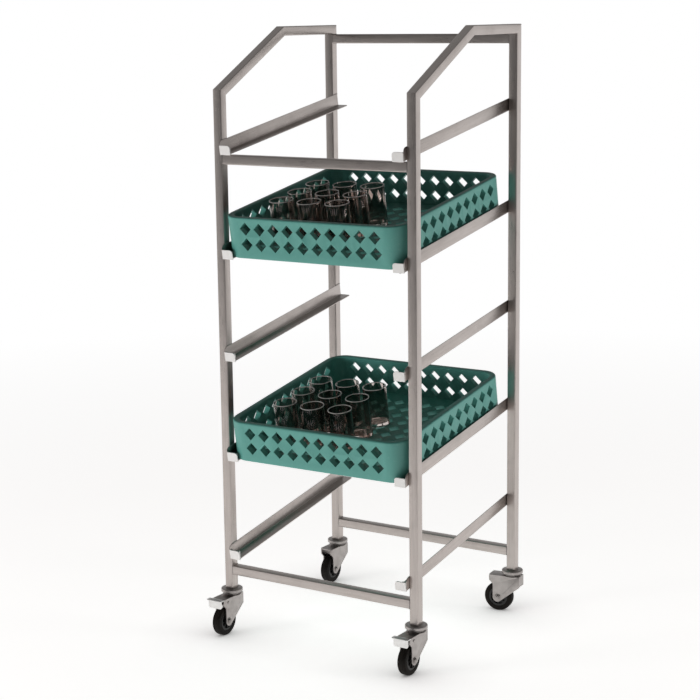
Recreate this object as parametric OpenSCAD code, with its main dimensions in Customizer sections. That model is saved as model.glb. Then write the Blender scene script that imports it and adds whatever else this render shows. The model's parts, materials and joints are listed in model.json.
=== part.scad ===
// Glass rack dolly: a square tube frame on four swivel casters. Pairs of angle runners slope down
// to plastic stops at the front and carry perforated racks of tumblers.
// Millimetres. +X is right, +Y is back and +Z is up. The origin is on the floor, under the middle
// of the outline.

/* [Racks] */
// Width of a rack, which sets the width of the frame
rack_w = 536; // [420:1:640]
// Depth of a rack from front to back
rack_d = 536; // [420:1:640]
// Height of a rack
rack_h = 108; // [96:1:140]
// Thickness of a rack's walls
rack_wall = 17; // [10:0.5:20]
// Thickness of a rack's floor
rack_base = 14; // [8:0.5:18]
// Radius of a rack's upright corners
rack_corner = 50; // [36:1:60]
// Rounding along the top of a rack's walls
rim_round = 4; // [1:0.5:4.5]
// Rounding along the foot of a rack's walls
foot_round = 2.5; // [1:0.5:4]
// Distance between neighbouring diamond holes in a row
hole_pitch = 43; // [38:0.5:52]
// Distance between the two rows of holes in a wall
row_pitch = 41; // [38:0.5:46]
// Height of the middle between the two rows above a rack's underside
hole_rise = 58.5; // [52:0.5:66]
// Size of a diamond hole from corner to corner
hole_size = 34; // [16:0.5:35]
// Least distance from the end of a wall to the middle of a hole in it
hole_margin = 60; // [60:1:80]

/* [Tumblers] */
// Diameter of a tumbler
glass_d = 64; // [54:1:78]
// Height of a tumbler
glass_h = 108; // [80:1:130]
// Thickness of a tumbler's wall
glass_wall = 2.4; // [1.5:0.1:4]
// Thickness of a tumbler's base
glass_base = 10; // [5:0.5:14]
// Distance between the middles of neighbouring tumblers
glass_pitch = 86; // [80:1:96]
// Tumblers in a row, and rows in a rack
glass_count = 3; // [1:1:3]
// Middle of the leftmost tumblers, right of the rack's middle
glass_left = -168; // [-185:1:-140]
// Middle of the frontmost tumblers, behind the rack's middle
glass_front = -133; // [-185:1:-110]

/* [Frame] */
// Depth over the posts
frame_d = 546; // [440:1:680]
// Height from the floor to the top of the frame
frame_h = 1600; // [1300:1:1950]
// Side of the square tube
tube = 25; // [20:0.5:32]
// Wall of the square tube
tube_wall = 1.5; // [1:0.1:2.5]
// Length of the slanted tubes along the depth
slant_run = 288; // [200:1:360]
// Height that the slanted tubes rise by
slant_drop = 154; // [100:1:220]
// Height of the lower crossbars above the foot of the posts
low_bar_lift = 40; // [10:1:60]

/* [Runners] */
// Levels of runners
levels = 5; // [4:1:6]
// Height of the lowest runners above the foot of the posts, at the front
first_runner_lift = 92; // [70:1:130]
// Depth of the top runners below the top of the frame, at the front
last_runner_drop = 315; // [280:1:400]
// Slope of the runners in degrees
slope = 9.7; // [4:0.1:12]
// Width of each leg of the angle
angle_leg = 33; // [25:0.5:40]
// Thickness of the angle
angle_sheet = 2; // [1.5:0.1:3]
// Length of a runner ahead of the front posts
runner_nose = 9; // [8:0.5:16]
// Rounding of the upright leg's front corner
nose_round = 12; // [4:0.5:16]
// Room between a rack and each upright leg
rack_side_gap = 5; // [3:0.5:12]
// Room between the top runners and the upper front crossbar
front_bar_gap = 4; // [3:0.5:20]

/* [Stops] */
// Width of a stop's front plate
stop_w = 31.5; // [28:0.5:40]
// Height of a stop above the runner's underside
stop_h = 22.5; // [18:0.5:30]
// Thickness of a stop's front plate
stop_plate = 3; // [3:0.1:5]
// Width of the block behind the plate, which holds the screw
block_w = 12; // [10:0.5:16]
// Height of the block above the runner's underside
block_h = 14.5; // [14.5:0.5:18]
// Depth of a stop along the runner, over its plate and block
stop_d = 19.5; // [16:0.5:22]
// Thickness of a stop below and ahead of the runner
stop_skin = 2; // [1.5:0.1:2.5]
// Room between a stop and the upright leg
stop_side_gap = 0.5; // [0.5:0.5:4]
// Rounding of a stop's inner top corner
stop_round = 8; // [2:0.5:10]
// Diameter of a stop's screw
screw_d = 4; // [3:0.5:5]

/* [Casters] */
// Diameter of a wheel
wheel_d = 80; // [66:1:100]
// Width of a tyre
tyre_w = 24; // [20:0.5:30]
// Rounding of a tyre's shoulders
tyre_round = 6; // [3:0.5:6]
// Depth of a tyre on its hub
tyre_depth = 13; // [12:0.5:16]
// Distance from the swivel axis to the axle
trail = 38; // [32:1:42]
// Diameter of the swivel head
head_d = 58; // [50:1:64]
// Height of the swivel head
head_h = 9; // [8:0.5:12]
// Height of the bearing ring that shows below the head
neck_h = 8; // [5:0.5:10]
// Outer diameter of the bearing ring
ring_d = 40; // [36:1:44]
// Thickness of the pressed fork
fork_sheet = 3; // [2.5:0.1:4]
// Room between a wheel and the fork's crown
crown_gap = 21; // [18:1:26]
// Room between a tyre and each cheek of the fork
cheek_gap = 3; // [2:0.5:5]
// Radius of a cheek's end round the axle
cheek_end = 13; // [10:0.5:15]
// Length of the fork behind the swivel axis
fork_back = 26; // [24:0.5:28]
// Length of the fork's crown ahead of the swivel axis
crown_reach = 62; // [58:1:66]
// Width of the fork's crown
crown_w = 40; // [38:0.5:46]
// Diameter of the swivel stem
stem_d = 12; // [10:0.5:14]
// Diameter of the axle bolt
axle_d = 8; // [6:0.5:10]
// Turn of the rear right caster from straight ahead, in degrees
rear_turn = 82; // [0:1:90]

/* [Brake pedals] */
// Distance from the swivel axis to the front of a pedal
pedal_reach = 84; // [78:1:92]
// Width of a pedal's toe plate
toe_w = 42; // [36:1:50]
// Height of a pedal's toe plate
toe_h = 24; // [18:1:28]
// Width of a pedal's tread plate
tread_w = 48; // [42:1:54]
// Depth of a pedal's tread plate
tread_d = 17; // [12:0.5:18]
// Length of the tread plate ahead of the toe plate
tread_lip = 7; // [4:0.5:8]
// Thickness of the pressed pedal
pedal_sheet = 2.5; // [2:0.1:3]
// Diameter of a pedal's pin
pedal_pin_d = 5; // [4:0.5:6]
// Room between a raised brake shoe and the tyre
shoe_gap = 4.5; // [3.5:0.1:6]

/* [Hidden] */
$fn = 64;

// Clearances between pieces
shaft_gap = 0.05;
side_gap = 0.3;
rest_gap = 0.1;
pedal_side_gap = 1;
screw_end_gap = 1;

// Lengths by which cuts and joined shapes run past a face, and bolts past a nut
overcut = 1;
bolt_end = 1;

// Widths across the frame
frame_in = rack_w + 2 * (rack_side_gap + angle_sheet);
half_in = frame_in / 2;
post_x = half_in + tube / 2;

// Caster heights from the floor up
axle_z = wheel_d / 2;
crown_z = wheel_d + crown_gap;
crown_top = crown_z + fork_sheet;
head_z = crown_top + neck_h;
post_z = head_z + head_h;

// The outline runs from the pedals' toes to the rear swivel heads, and its middle is at y = 0
front_reach = max(pedal_reach, trail + wheel_d / 2) - tube / 2;
rear_reach = head_d / 2 - tube / 2;
front_y = -(frame_d + rear_reach - front_reach) / 2;
rear_y = front_y + frame_d;

// Mitres of the side frames
front_h = frame_h - slant_drop;
slant_lean = atan2(slant_run, slant_drop);
front_mitre = tan(slant_lean / 2);
top_mitre = tan((90 - slant_lean) / 2);

// Heights of the runners and crossbars
runner_z = post_z + first_runner_lift;
level_pitch = (frame_h - last_runner_drop - runner_z) / (levels - 1);
runner_len = frame_d / cos(slope);
low_bar_z = post_z + low_bar_lift;
front_bar_z = frame_h - last_runner_drop - front_bar_gap - tube;
rear_bar_z = frame_h - 2 * tube;

// A stop runs from ahead of the runner's end, and a rack's round corner leans on its block
stop_front = -runner_nose - stop_skin;
stop_back = stop_front + stop_d;
stop_out_x = half_in - angle_sheet - stop_side_gap;
stop_in_x = stop_out_x - stop_w;
screw_x = half_in - angle_leg / 2;
screw_head_d = 2 * screw_d;
screw_head_h = 2.2;
// The sloping screw's head stays clear of the crossbar behind it
screw_s = -screw_head_d / 2 - (stop_skin + screw_head_h) * tan(slope) - side_gap;
screw_len = 14;
corner_mid_x = rack_w / 2 - rack_corner;
block_in_x = screw_x - block_w / 2;
corner_dx = max(0, block_in_x - corner_mid_x);
rack_front = stop_back + side_gap - (rack_corner - sqrt(rack_corner * rack_corner - corner_dx * corner_dx));
rack_n = angle_sheet + rest_gap;
rack_mid_s = rack_front + rack_d / 2;

// Diamond holes
front_holes = floor((rack_w - 2 * hole_margin) / hole_pitch) + 1;
side_holes = floor((rack_d - 2 * hole_margin) / hole_pitch) + 1;
hole_rows = 2;
hole_side = hole_size / sqrt(2);

// Fork, wheel and swivel
fork_in = tyre_w + 2 * cheek_gap;
fork_out = fork_in + 2 * fork_sheet;
crown_disc_d = 50;
crown_round = 5;
hood_h = 13;
back_wall_h = 26;
back_edge_h = 30;
cheek_front = trail + cheek_end;
hub_d = wheel_d - 2 * tyre_depth;
hub_boss_d = 20;
hub_web_w = 10;
hub_rim_w = tyre_w - 2;
hub_rim_h = 6;
head_round = 3;
head_skin = 4;
head_rim = 4;
ring_in_d = 28;
plug_h = 28;
stem_nut_d = 20;
stem_nut_h = 6;
axle_head_h = 5;
axle_head_d = 1.85 * axle_d;

// Brake pedal, which turns about a pin above the axle
pedal_x = fork_in / 2 - pedal_side_gap;
pedal_t = trail + 2;
pedal_z = crown_z - 9;
pedal_eye_d = 2 * pedal_pin_d;
pin_flare = 1.5;
toe_top = crown_top + 3;
toe_round = 5;
toe_t = pedal_reach - tread_lip;
shoe_t = pedal_t + 12;
shoe_len = 8;
shoe_top = axle_z + sqrt(pow(axle_z + shoe_gap, 2) - pow(shoe_t - trail, 2));

// Names and places
side_names = ["left", "right"];
corner_names = ["front_left", "front_right", "rear_left", "rear_right"];
corner_x = [-post_x, post_x, -post_x, post_x];
corner_y = [front_y + tube / 2, front_y + tube / 2, rear_y - tube / 2, rear_y - tube / 2];
corner_turn = [0, 0, 0, -rear_turn];
rack_names = ["lower_rack", "upper_rack"];
tumbler_names = ["lower_tumblers", "upper_tumblers"];
rack_levels = [2, 4];
caster_pieces = ["swivel_head", "fork", "axle_bolt", "axle_nut", "wheel_hub", "tyre"];
brake_pieces = ["brake_pedal", "pedal_pin"];
NODES = concat(
    [for (corner = corner_names) str(corner, "_post")],
    [for (side = side_names, piece = ["slant_tube", "top_tube"]) str(side, "_", piece)],
    ["upper_front_crossbar", "lower_front_crossbar", "upper_rear_crossbar", "lower_rear_crossbar"],
    [for (side = side_names, level = [1:levels]) str(side, "_runner_", level)],
    ["runner_stops", "stop_screws", "post_plugs", "swivel_stems", "bearing_rings"],
    [for (corner = corner_names, piece = caster_pieces) str(corner, "_", piece)],
    [for (corner = [0, 1], piece = brake_pieces) str(corner_names[corner], "_", piece)],
    rack_names,
    tumbler_names
);
node = "all";

// Corner of a side frame, numbered from the front post's foot over the top to the rear post's foot,
// at a depth inside the frame's outline
function outline(number, depth) =
    number == 0 ? [depth, post_z] :
    number == 1 ? [depth, front_h - depth * front_mitre] :
    number == 2 ? [slant_run + depth * top_mitre, frame_h - depth] :
    number == 3 ? [frame_d - depth, frame_h - depth] :
    [frame_d - depth, post_z];

function level_z(level) = runner_z + (level - 1) * level_pitch;

function shows(name) = node == "all" || node == name;

// Extrudes an outline drawn in the YZ plane along X, with its middle at x = 0
module across(width) {
    rotate([90, 0, 90])
        linear_extrude(width, center = true)
            children();
}

// Puts children that are drawn for the right side on either side
module on_side(side) {
    mirror([side == 0 ? 1 : 0, 0, 0])
        children();
}

// Puts children on a level: x across, y along the runner and z square to it
module on_level(level) {
    translate([0, front_y, level_z(level)])
        rotate([slope, 0, 0])
            children();
}

// Puts children on a corner's swivel axis, with +Y along the caster's trail
module on_corner(corner) {
    translate([corner_x[corner], corner_y[corner], 0])
        rotate([0, 0, 180 + corner_turn[corner]])
            children();
}

// Mitred tube of the right side frame, from one corner of its outline to the next
module side_tube(number) {
    run = outline(number + 1, 0) - outline(number, 0);
    past = run / norm(run) * overcut;
    inside = [tube_wall, tube - tube_wall];
    color([0.62, 0.59, 0.57])
        translate([post_x, front_y, 0])
            difference() {
                across(tube)
                    polygon([
                        outline(number, 0),
                        outline(number + 1, 0),
                        outline(number + 1, tube),
                        outline(number, tube)
                    ]);
                across(tube - 2 * tube_wall)
                    polygon([
                        outline(number, inside[0]) - past,
                        outline(number + 1, inside[0]) + past,
                        outline(number + 1, inside[1]) + past,
                        outline(number, inside[1]) - past
                    ]);
            }
}

// Tube between the posts of the left and right sides
module crossbar(y, z) {
    color([0.62, 0.59, 0.57])
        translate([0, y, z])
            difference() {
                across(frame_in)
                    square(tube);
                across(frame_in + 2 * overcut)
                    translate([tube_wall, tube_wall])
                        square(tube - 2 * tube_wall);
            }
}

// Angle runner of the right side, drilled for the screw of its stop
module runner() {
    color([0.6, 0.57, 0.55])
        difference() {
            union() {
                translate([half_in - angle_sheet / 2, 0, 0])
                    across(angle_sheet)
                        union() {
                            translate([-runner_nose, 0])
                                square([runner_nose + runner_len, angle_leg - nose_round]);
                            translate([nose_round - runner_nose, 0])
                                square([runner_nose + runner_len - nose_round, angle_leg]);
                            translate([nose_round - runner_nose, angle_leg - nose_round])
                                circle(nose_round);
                        }
                translate([half_in - angle_leg, -runner_nose, 0])
                    cube([angle_leg, runner_nose + runner_len, angle_sheet]);
            }
            translate([screw_x, screw_s, -overcut])
                cylinder(h = angle_sheet + 2 * overcut, d = screw_d + 2 * shaft_gap);
        }
}

// Plastic stop that caps the front end of the right runner's lower leg: a plate, and a block behind it
module runner_stop() {
    color([0.93, 0.92, 0.9])
        difference() {
            union() {
                translate([0, stop_front + stop_plate, 0])
                    rotate([90, 0, 0])
                        linear_extrude(stop_plate)
                            union() {
                                translate([stop_in_x, -stop_skin])
                                    square([stop_w, stop_skin + stop_h - stop_round]);
                                translate([stop_in_x + stop_round, -stop_skin])
                                    square([stop_w - stop_round, stop_skin + stop_h]);
                                translate([stop_in_x + stop_round, stop_h - stop_round])
                                    circle(stop_round);
                            }
                translate([block_in_x, stop_front, -stop_skin])
                    cube([block_w, stop_d, stop_skin + block_h]);
            }
            translate([half_in - angle_leg, -runner_nose, 0])
                cube([angle_leg, stop_d + runner_nose, angle_sheet]);
            translate([screw_x, screw_s, -stop_skin - overcut])
                cylinder(h = screw_len + screw_end_gap + overcut, d = screw_d + 2 * shaft_gap);
        }
}

// Screw that holds the right stop from below
module stop_screw() {
    color([0.7, 0.7, 0.7])
        translate([screw_x, screw_s, -stop_skin])
            union() {
                cylinder(h = screw_len, d = screw_d);
                translate([0, 0, -screw_head_h])
                    cylinder(h = screw_head_h, d = screw_head_d);
            }
}

// Section of a rack's wall, with its outer face at x = 0
module rack_wall_section() {
    union() {
        translate([0, foot_round])
            square([rack_wall, rack_h - foot_round - rim_round]);
        translate([foot_round, 0])
            square([rack_wall - foot_round, foot_round]);
        translate([foot_round, foot_round])
            circle(foot_round);
        translate([rim_round, rack_h - 2 * rim_round])
            square([rack_wall - 2 * rim_round, 2 * rim_round]);
        translate([rim_round, rack_h - rim_round])
            circle(rim_round);
        translate([rack_wall - rim_round, rack_h - rim_round])
            circle(rim_round);
    }
}

// Walls of a rack around its middle: straight stretches and quarter rings
module rack_walls() {
    straight_w = rack_w - 2 * rack_corner;
    straight_d = rack_d - 2 * rack_corner;
    for (turn = [0, 180]) {
        rotate([0, 0, turn])
            translate([-rack_w / 2, straight_d / 2, 0])
                rotate([90, 0, 0])
                    linear_extrude(straight_d)
                        rack_wall_section();
        rotate([0, 0, turn + 90])
            translate([-rack_d / 2, straight_w / 2, 0])
                rotate([90, 0, 0])
                    linear_extrude(straight_w)
                        rack_wall_section();
    }
    for (x = [-1, 1], y = [-1, 1])
        translate([x * straight_w / 2, y * straight_d / 2, 0])
            rotate([0, 0, atan2(y, x) - 45])
                rotate_extrude(angle = 90)
                    translate([rack_corner, 0])
                        mirror([1, 0])
                            rack_wall_section();
}

// Floor of a rack, which fills the space within its walls
module rack_floor() {
    inset = rack_wall - overcut;
    corner = rack_corner - inset;
    linear_extrude(rack_base)
        union() {
            square([rack_w - 2 * rack_corner, rack_d - 2 * inset], center = true);
            square([rack_w - 2 * inset, rack_d - 2 * rack_corner], center = true);
            for (x = [-1, 1], y = [-1, 1])
                translate([x * (rack_w / 2 - rack_corner), y * (rack_d / 2 - rack_corner)])
                    circle(corner);
        }
}

// Prism that cuts a diamond hole along Z
module diamond(length) {
    rotate([0, 0, 45])
        cube([hole_side, hole_side, length], center = true);
}

// Perforated rack, with its underside at z = 0 and its middle on the Z axis
module rack_body() {
    difference() {
        union() {
            rack_walls();
            rack_floor();
        }
        for (i = [1:front_holes], row = [1:hole_rows])
            translate([(i - (front_holes + 1) / 2) * hole_pitch, 0,
                       hole_rise + (row - (hole_rows + 1) / 2) * row_pitch])
                rotate([90, 0, 0])
                    diamond(rack_d + 2 * overcut);
        for (i = [1:side_holes], row = [1:hole_rows])
            translate([0, (i - (side_holes + 1) / 2) * hole_pitch,
                       hole_rise + (row - (hole_rows + 1) / 2) * row_pitch])
                rotate([0, 90, 0])
                    diamond(rack_w + 2 * overcut);
        for (i = [1:front_holes], j = [1:side_holes])
            translate([(i - (front_holes + 1) / 2) * hole_pitch,
                       (j - (side_holes + 1) / 2) * hole_pitch, rack_base / 2])
                diamond(rack_base + 2 * overcut);
    }
}

module rack(level) {
    color([0.33, 0.66, 0.6])
        on_level(level)
            translate([0, rack_mid_s, rack_n])
                rack_body();
}

// Straight tumbler that stands on its base
module tumbler() {
    rotate_extrude()
        union() {
            square([glass_d / 2, glass_base]);
            translate([glass_d / 2 - glass_wall, 0])
                square([glass_wall, glass_h - glass_wall / 2]);
            translate([(glass_d - glass_wall) / 2, glass_h - glass_wall / 2])
                circle(glass_wall / 2);
        }
}

module tumblers(level) {
    color([0.3, 0.27, 0.25, 0.6])
        on_level(level)
            for (i = [0:glass_count - 1], j = [0:glass_count - 1])
                translate([glass_left + i * glass_pitch, rack_mid_s + glass_front + j * glass_pitch,
                           rack_n + rack_base])
                    tumbler();
}

// Plug in the foot of a post, bored for the swivel stem
module post_plug() {
    side = tube - 2 * tube_wall;
    color([0.4, 0.4, 0.42])
        translate([0, 0, post_z])
            difference() {
                translate([-side / 2, -side / 2, 0])
                    cube([side, side, plug_h]);
                translate([0, 0, -overcut])
                    cylinder(h = plug_h + 2 * overcut, d = stem_d + 2 * shaft_gap);
            }
}

// Stem that a caster swivels on, with its nut below the fork's crown
module swivel_stem() {
    color([0.66, 0.66, 0.68])
        translate([0, 0, crown_z - side_gap - stem_nut_h])
            union() {
                cylinder(h = post_z + plug_h - crown_z + side_gap + stem_nut_h, d = stem_d);
                cylinder(h = stem_nut_h, d = stem_nut_d, $fn = 6);
            }
}

// Round head that the post stands on, hollow below for the bearing ring
module swivel_head() {
    color([0.68, 0.66, 0.64])
        translate([0, 0, head_z])
            difference() {
                rotate_extrude()
                    union() {
                        square([head_d / 2, head_h - head_round]);
                        square([head_d / 2 - head_round, head_h]);
                        translate([head_d / 2 - head_round, head_h - head_round])
                            circle(head_round);
                    }
                translate([0, 0, -overcut])
                    cylinder(h = head_h - head_skin + overcut, d = head_d - 2 * head_rim);
                cylinder(h = head_h + overcut, d = stem_d + 2 * shaft_gap);
            }
}

// Bearing ring between the head and the fork
module bearing_ring() {
    height = neck_h + head_h - head_skin;
    color([0.45, 0.44, 0.43])
        translate([0, 0, crown_top])
            difference() {
                cylinder(h = height, d = ring_d);
                translate([0, 0, -overcut])
                    cylinder(h = height + 2 * overcut, d = ring_in_d);
            }
}

// Side outline of the fork: a broad top that narrows to a round end at the axle
module cheek_outline() {
    heel = [-fork_back, crown_top - back_edge_h];
    reach = [trail, axle_z] - heel;
    edge_angle = atan2(reach[1], reach[0]) - asin(cheek_end / norm(reach));
    edge_len = sqrt(reach * reach - cheek_end * cheek_end);
    union() {
        polygon([
            [-fork_back, crown_z],
            heel,
            heel + edge_len * [cos(edge_angle), sin(edge_angle)],
            [trail, axle_z],
            [cheek_front, axle_z],
            [cheek_front, crown_z - hood_h - (crown_reach - cheek_front)],
            [crown_reach, crown_z - hood_h],
            [crown_reach, crown_z]
        ]);
        translate([trail, axle_z])
            circle(cheek_end);
    }
}

// Crown plate of the fork, seen from above
module crown_outline() {
    union() {
        circle(d = crown_disc_d);
        translate([-fork_out / 2, -fork_back])
            square([fork_out, fork_back]);
        translate([-crown_w / 2, 0])
            square([crown_w, crown_reach - crown_round]);
        translate([crown_round - crown_w / 2, 0])
            square([crown_w - 2 * crown_round, crown_reach]);
        for (side = [-1, 1])
            translate([side * (crown_w / 2 - crown_round), crown_reach - crown_round])
                circle(crown_round);
    }
}

// Pressed fork: crown, two cheeks and a short back wall
module fork(braked) {
    color([0.7, 0.68, 0.66])
        difference() {
            union() {
                across(fork_out)
                    cheek_outline();
                translate([0, 0, crown_z])
                    linear_extrude(fork_sheet)
                        crown_outline();
            }
            translate([-fork_in / 2, fork_sheet - fork_back, 0])
                cube([fork_in, fork_back + crown_reach, crown_z]);
            translate([-fork_in / 2, -fork_back - overcut, 0])
                cube([fork_in, 2 * fork_back, crown_top - back_wall_h]);
            cylinder(h = crown_top + overcut, d = stem_d + 2 * shaft_gap);
            translate([0, trail, axle_z])
                across(fork_out + 2 * overcut)
                    circle(d = axle_d + 2 * shaft_gap);
            if (braked)
                translate([0, pedal_t, pedal_z])
                    across(fork_out + 2 * overcut)
                        circle(d = pedal_pin_d + 2 * shaft_gap);
        }
}

// Axle bolt through the cheeks and the hub, with its head on the right
module axle_bolt() {
    length = fork_out + axle_head_h + bolt_end;
    color([0.66, 0.66, 0.68])
        translate([0, trail, axle_z])
            union() {
                translate([fork_out / 2 - length / 2, 0, 0])
                    across(length)
                        circle(d = axle_d);
                translate([(fork_out + axle_head_h) / 2, 0, 0])
                    across(axle_head_h)
                        circle(d = axle_head_d, $fn = 6);
            }
}

module axle_nut() {
    color([0.66, 0.66, 0.68])
        translate([-(fork_out + axle_head_h) / 2, trail, axle_z])
            across(axle_head_h)
                difference() {
                    circle(d = axle_head_d, $fn = 6);
                    circle(d = axle_d + 2 * shaft_gap);
                }
}

// Turns a section, drawn with its radius along X and its width along Y, about the axle
module about_axle() {
    translate([0, trail, axle_z])
        rotate([0, 90, 0])
            rotate_extrude()
                children();
}

module wheel_hub() {
    bore = axle_d / 2 + shaft_gap;
    boss_w = fork_in - 2 * side_gap;
    color([0.16, 0.16, 0.16])
        about_axle()
            union() {
                translate([bore, -boss_w / 2])
                    square([hub_boss_d / 2 - bore, boss_w]);
                translate([bore, -hub_web_w / 2])
                    square([hub_d / 2 - bore, hub_web_w]);
                translate([hub_d / 2 - hub_rim_h, -hub_rim_w / 2])
                    square([hub_rim_h, hub_rim_w]);
            }
}

module tyre() {
    color([0.1, 0.09, 0.08])
        about_axle()
            union() {
                translate([hub_d / 2, -tyre_w / 2])
                    square([tyre_depth - tyre_round, tyre_w]);
                translate([hub_d / 2, tyre_round - tyre_w / 2])
                    square([tyre_depth, tyre_w - 2 * tyre_round]);
                for (side = [-1, 1])
                    translate([wheel_d / 2 - tyre_round, side * (tyre_w / 2 - tyre_round)])
                        circle(tyre_round);
            }
}

// Brake pedal: an eye on its pin, a flat arm with a shoe below it, and an upright toe plate under a tread
module brake_pedal() {
    arm_z = pedal_z - pedal_sheet / 2;
    color([0.86, 0.85, 0.83])
        difference() {
            union() {
                translate([0, pedal_t, pedal_z])
                    across(2 * pedal_x)
                        circle(d = pedal_eye_d);
                translate([-pedal_x, pedal_t, arm_z])
                    cube([2 * pedal_x, toe_t - pedal_t, pedal_sheet]);
                translate([-tyre_w / 2, shoe_t, shoe_top])
                    cube([tyre_w, shoe_len, pedal_z - shoe_top]);
                translate([0, toe_t, toe_top - toe_h])
                    rotate([90, 0, 0])
                        linear_extrude(pedal_sheet)
                            toe_outline();
                translate([0, pedal_reach - tread_d, toe_top - pedal_sheet])
                    linear_extrude(pedal_sheet)
                        tread_outline();
            }
            translate([0, pedal_t, pedal_z])
                across(2 * pedal_x + 2 * overcut)
                    circle(d = pedal_pin_d + 2 * shaft_gap);
        }
}

// Toe plate of a pedal with rounded lower corners
module toe_outline() {
    union() {
        translate([-toe_w / 2, toe_round])
            square([toe_w, toe_h - toe_round]);
        translate([toe_round - toe_w / 2, 0])
            square([toe_w - 2 * toe_round, toe_h]);
        for (side = [-1, 1])
            translate([side * (toe_w / 2 - toe_round), toe_round])
                circle(toe_round);
    }
}

// Tread plate of a pedal with rounded front corners, seen from above with its back edge at y = 0
module tread_outline() {
    union() {
        translate([-tread_w / 2, 0])
            square([tread_w, tread_d - toe_round]);
        translate([toe_round - tread_w / 2, 0])
            square([tread_w - 2 * toe_round, tread_d]);
        for (side = [-1, 1])
            translate([side * (tread_w / 2 - toe_round), tread_d - toe_round])
                circle(toe_round);
    }
}

// Headed pin of a pedal, held in the fork's cheeks
module pedal_pin() {
    color([0.66, 0.66, 0.68])
        translate([0, pedal_t, pedal_z])
            union() {
                across(fork_out)
                    circle(d = pedal_pin_d);
                for (side = [-1, 1])
                    translate([side * (fork_out + pin_flare) / 2, 0, 0])
                        across(pin_flare)
                            circle(d = pedal_pin_d + 2 * pin_flare);
            }
}

for (side = [0, 1]) {
    if (shows(str("front_", side_names[side], "_post"))) on_side(side) side_tube(0);
    if (shows(str(side_names[side], "_slant_tube"))) on_side(side) side_tube(1);
    if (shows(str(side_names[side], "_top_tube"))) on_side(side) side_tube(2);
    if (shows(str("rear_", side_names[side], "_post"))) on_side(side) side_tube(3);
    for (level = [1:levels])
        if (shows(str(side_names[side], "_runner_", level))) on_level(level) on_side(side) runner();
}
if (shows("upper_front_crossbar")) crossbar(front_y, front_bar_z);
if (shows("lower_front_crossbar")) crossbar(front_y, low_bar_z);
if (shows("upper_rear_crossbar")) crossbar(rear_y - tube, rear_bar_z);
if (shows("lower_rear_crossbar")) crossbar(rear_y - tube, low_bar_z);
for (side = [0, 1], level = [1:levels]) {
    if (shows("runner_stops")) on_level(level) on_side(side) runner_stop();
    if (shows("stop_screws")) on_level(level) on_side(side) stop_screw();
}
for (corner = [0:3]) {
    if (shows("post_plugs")) on_corner(corner) rotate([0, 0, -corner_turn[corner]]) post_plug();
    if (shows("swivel_stems")) on_corner(corner) swivel_stem();
    if (shows(str(corner_names[corner], "_swivel_head"))) on_corner(corner) swivel_head();
    if (shows("bearing_rings")) on_corner(corner) bearing_ring();
    if (shows(str(corner_names[corner], "_fork"))) on_corner(corner) fork(corner < 2);
    if (shows(str(corner_names[corner], "_axle_bolt"))) on_corner(corner) axle_bolt();
    if (shows(str(corner_names[corner], "_axle_nut"))) on_corner(corner) axle_nut();
    if (shows(str(corner_names[corner], "_wheel_hub"))) on_corner(corner) wheel_hub();
    if (shows(str(corner_names[corner], "_tyre"))) on_corner(corner) tyre();
}
for (corner = [0, 1]) {
    if (shows(str(corner_names[corner], "_brake_pedal"))) on_corner(corner) brake_pedal();
    if (shows(str(corner_names[corner], "_pedal_pin"))) on_corner(corner) pedal_pin();
}
for (number = [0, 1]) {
    if (shows(rack_names[number])) rack(rack_levels[number]);
    if (shows(tumbler_names[number])) tumblers(rack_levels[number]);
}
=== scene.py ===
"""Looks of a glass rack dolly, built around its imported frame.

Two side frames of square tube stand on swivel casters. Sloping angle runners with plastic stops carry
perforated racks of tumblers. Lengths are metres in the frame's own axes: +X right, +Y back and +Z up.
"""

from __future__ import annotations

import json
import logging
import math
from collections.abc import Callable, Iterator, Sequence
from contextlib import contextmanager
from dataclasses import dataclass, field
from enum import Enum
from itertools import pairwise

import bmesh
import bpy
from mathutils import Euler, Matrix, Vector

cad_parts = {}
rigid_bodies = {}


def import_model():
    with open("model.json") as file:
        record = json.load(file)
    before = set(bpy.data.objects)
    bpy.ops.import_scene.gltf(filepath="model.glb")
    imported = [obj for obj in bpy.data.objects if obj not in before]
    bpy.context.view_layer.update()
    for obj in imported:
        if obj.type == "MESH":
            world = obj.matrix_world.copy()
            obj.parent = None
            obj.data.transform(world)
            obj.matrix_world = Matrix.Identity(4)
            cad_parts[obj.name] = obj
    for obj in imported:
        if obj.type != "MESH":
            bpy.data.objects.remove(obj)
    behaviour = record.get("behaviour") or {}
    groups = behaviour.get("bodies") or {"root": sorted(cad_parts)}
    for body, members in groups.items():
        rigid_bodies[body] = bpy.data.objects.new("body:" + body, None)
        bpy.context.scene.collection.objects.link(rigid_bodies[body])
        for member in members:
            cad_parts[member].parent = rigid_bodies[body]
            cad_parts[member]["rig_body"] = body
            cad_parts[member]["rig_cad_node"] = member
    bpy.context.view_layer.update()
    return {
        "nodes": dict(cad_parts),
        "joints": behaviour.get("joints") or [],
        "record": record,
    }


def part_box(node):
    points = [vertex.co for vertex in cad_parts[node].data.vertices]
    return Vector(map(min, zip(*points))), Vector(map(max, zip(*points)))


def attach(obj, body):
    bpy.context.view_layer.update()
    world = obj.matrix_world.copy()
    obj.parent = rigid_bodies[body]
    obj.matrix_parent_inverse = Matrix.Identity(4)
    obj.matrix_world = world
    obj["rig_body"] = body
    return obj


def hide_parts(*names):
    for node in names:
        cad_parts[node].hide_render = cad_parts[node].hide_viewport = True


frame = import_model()
LOG = logging.getLogger("dolly")

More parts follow.
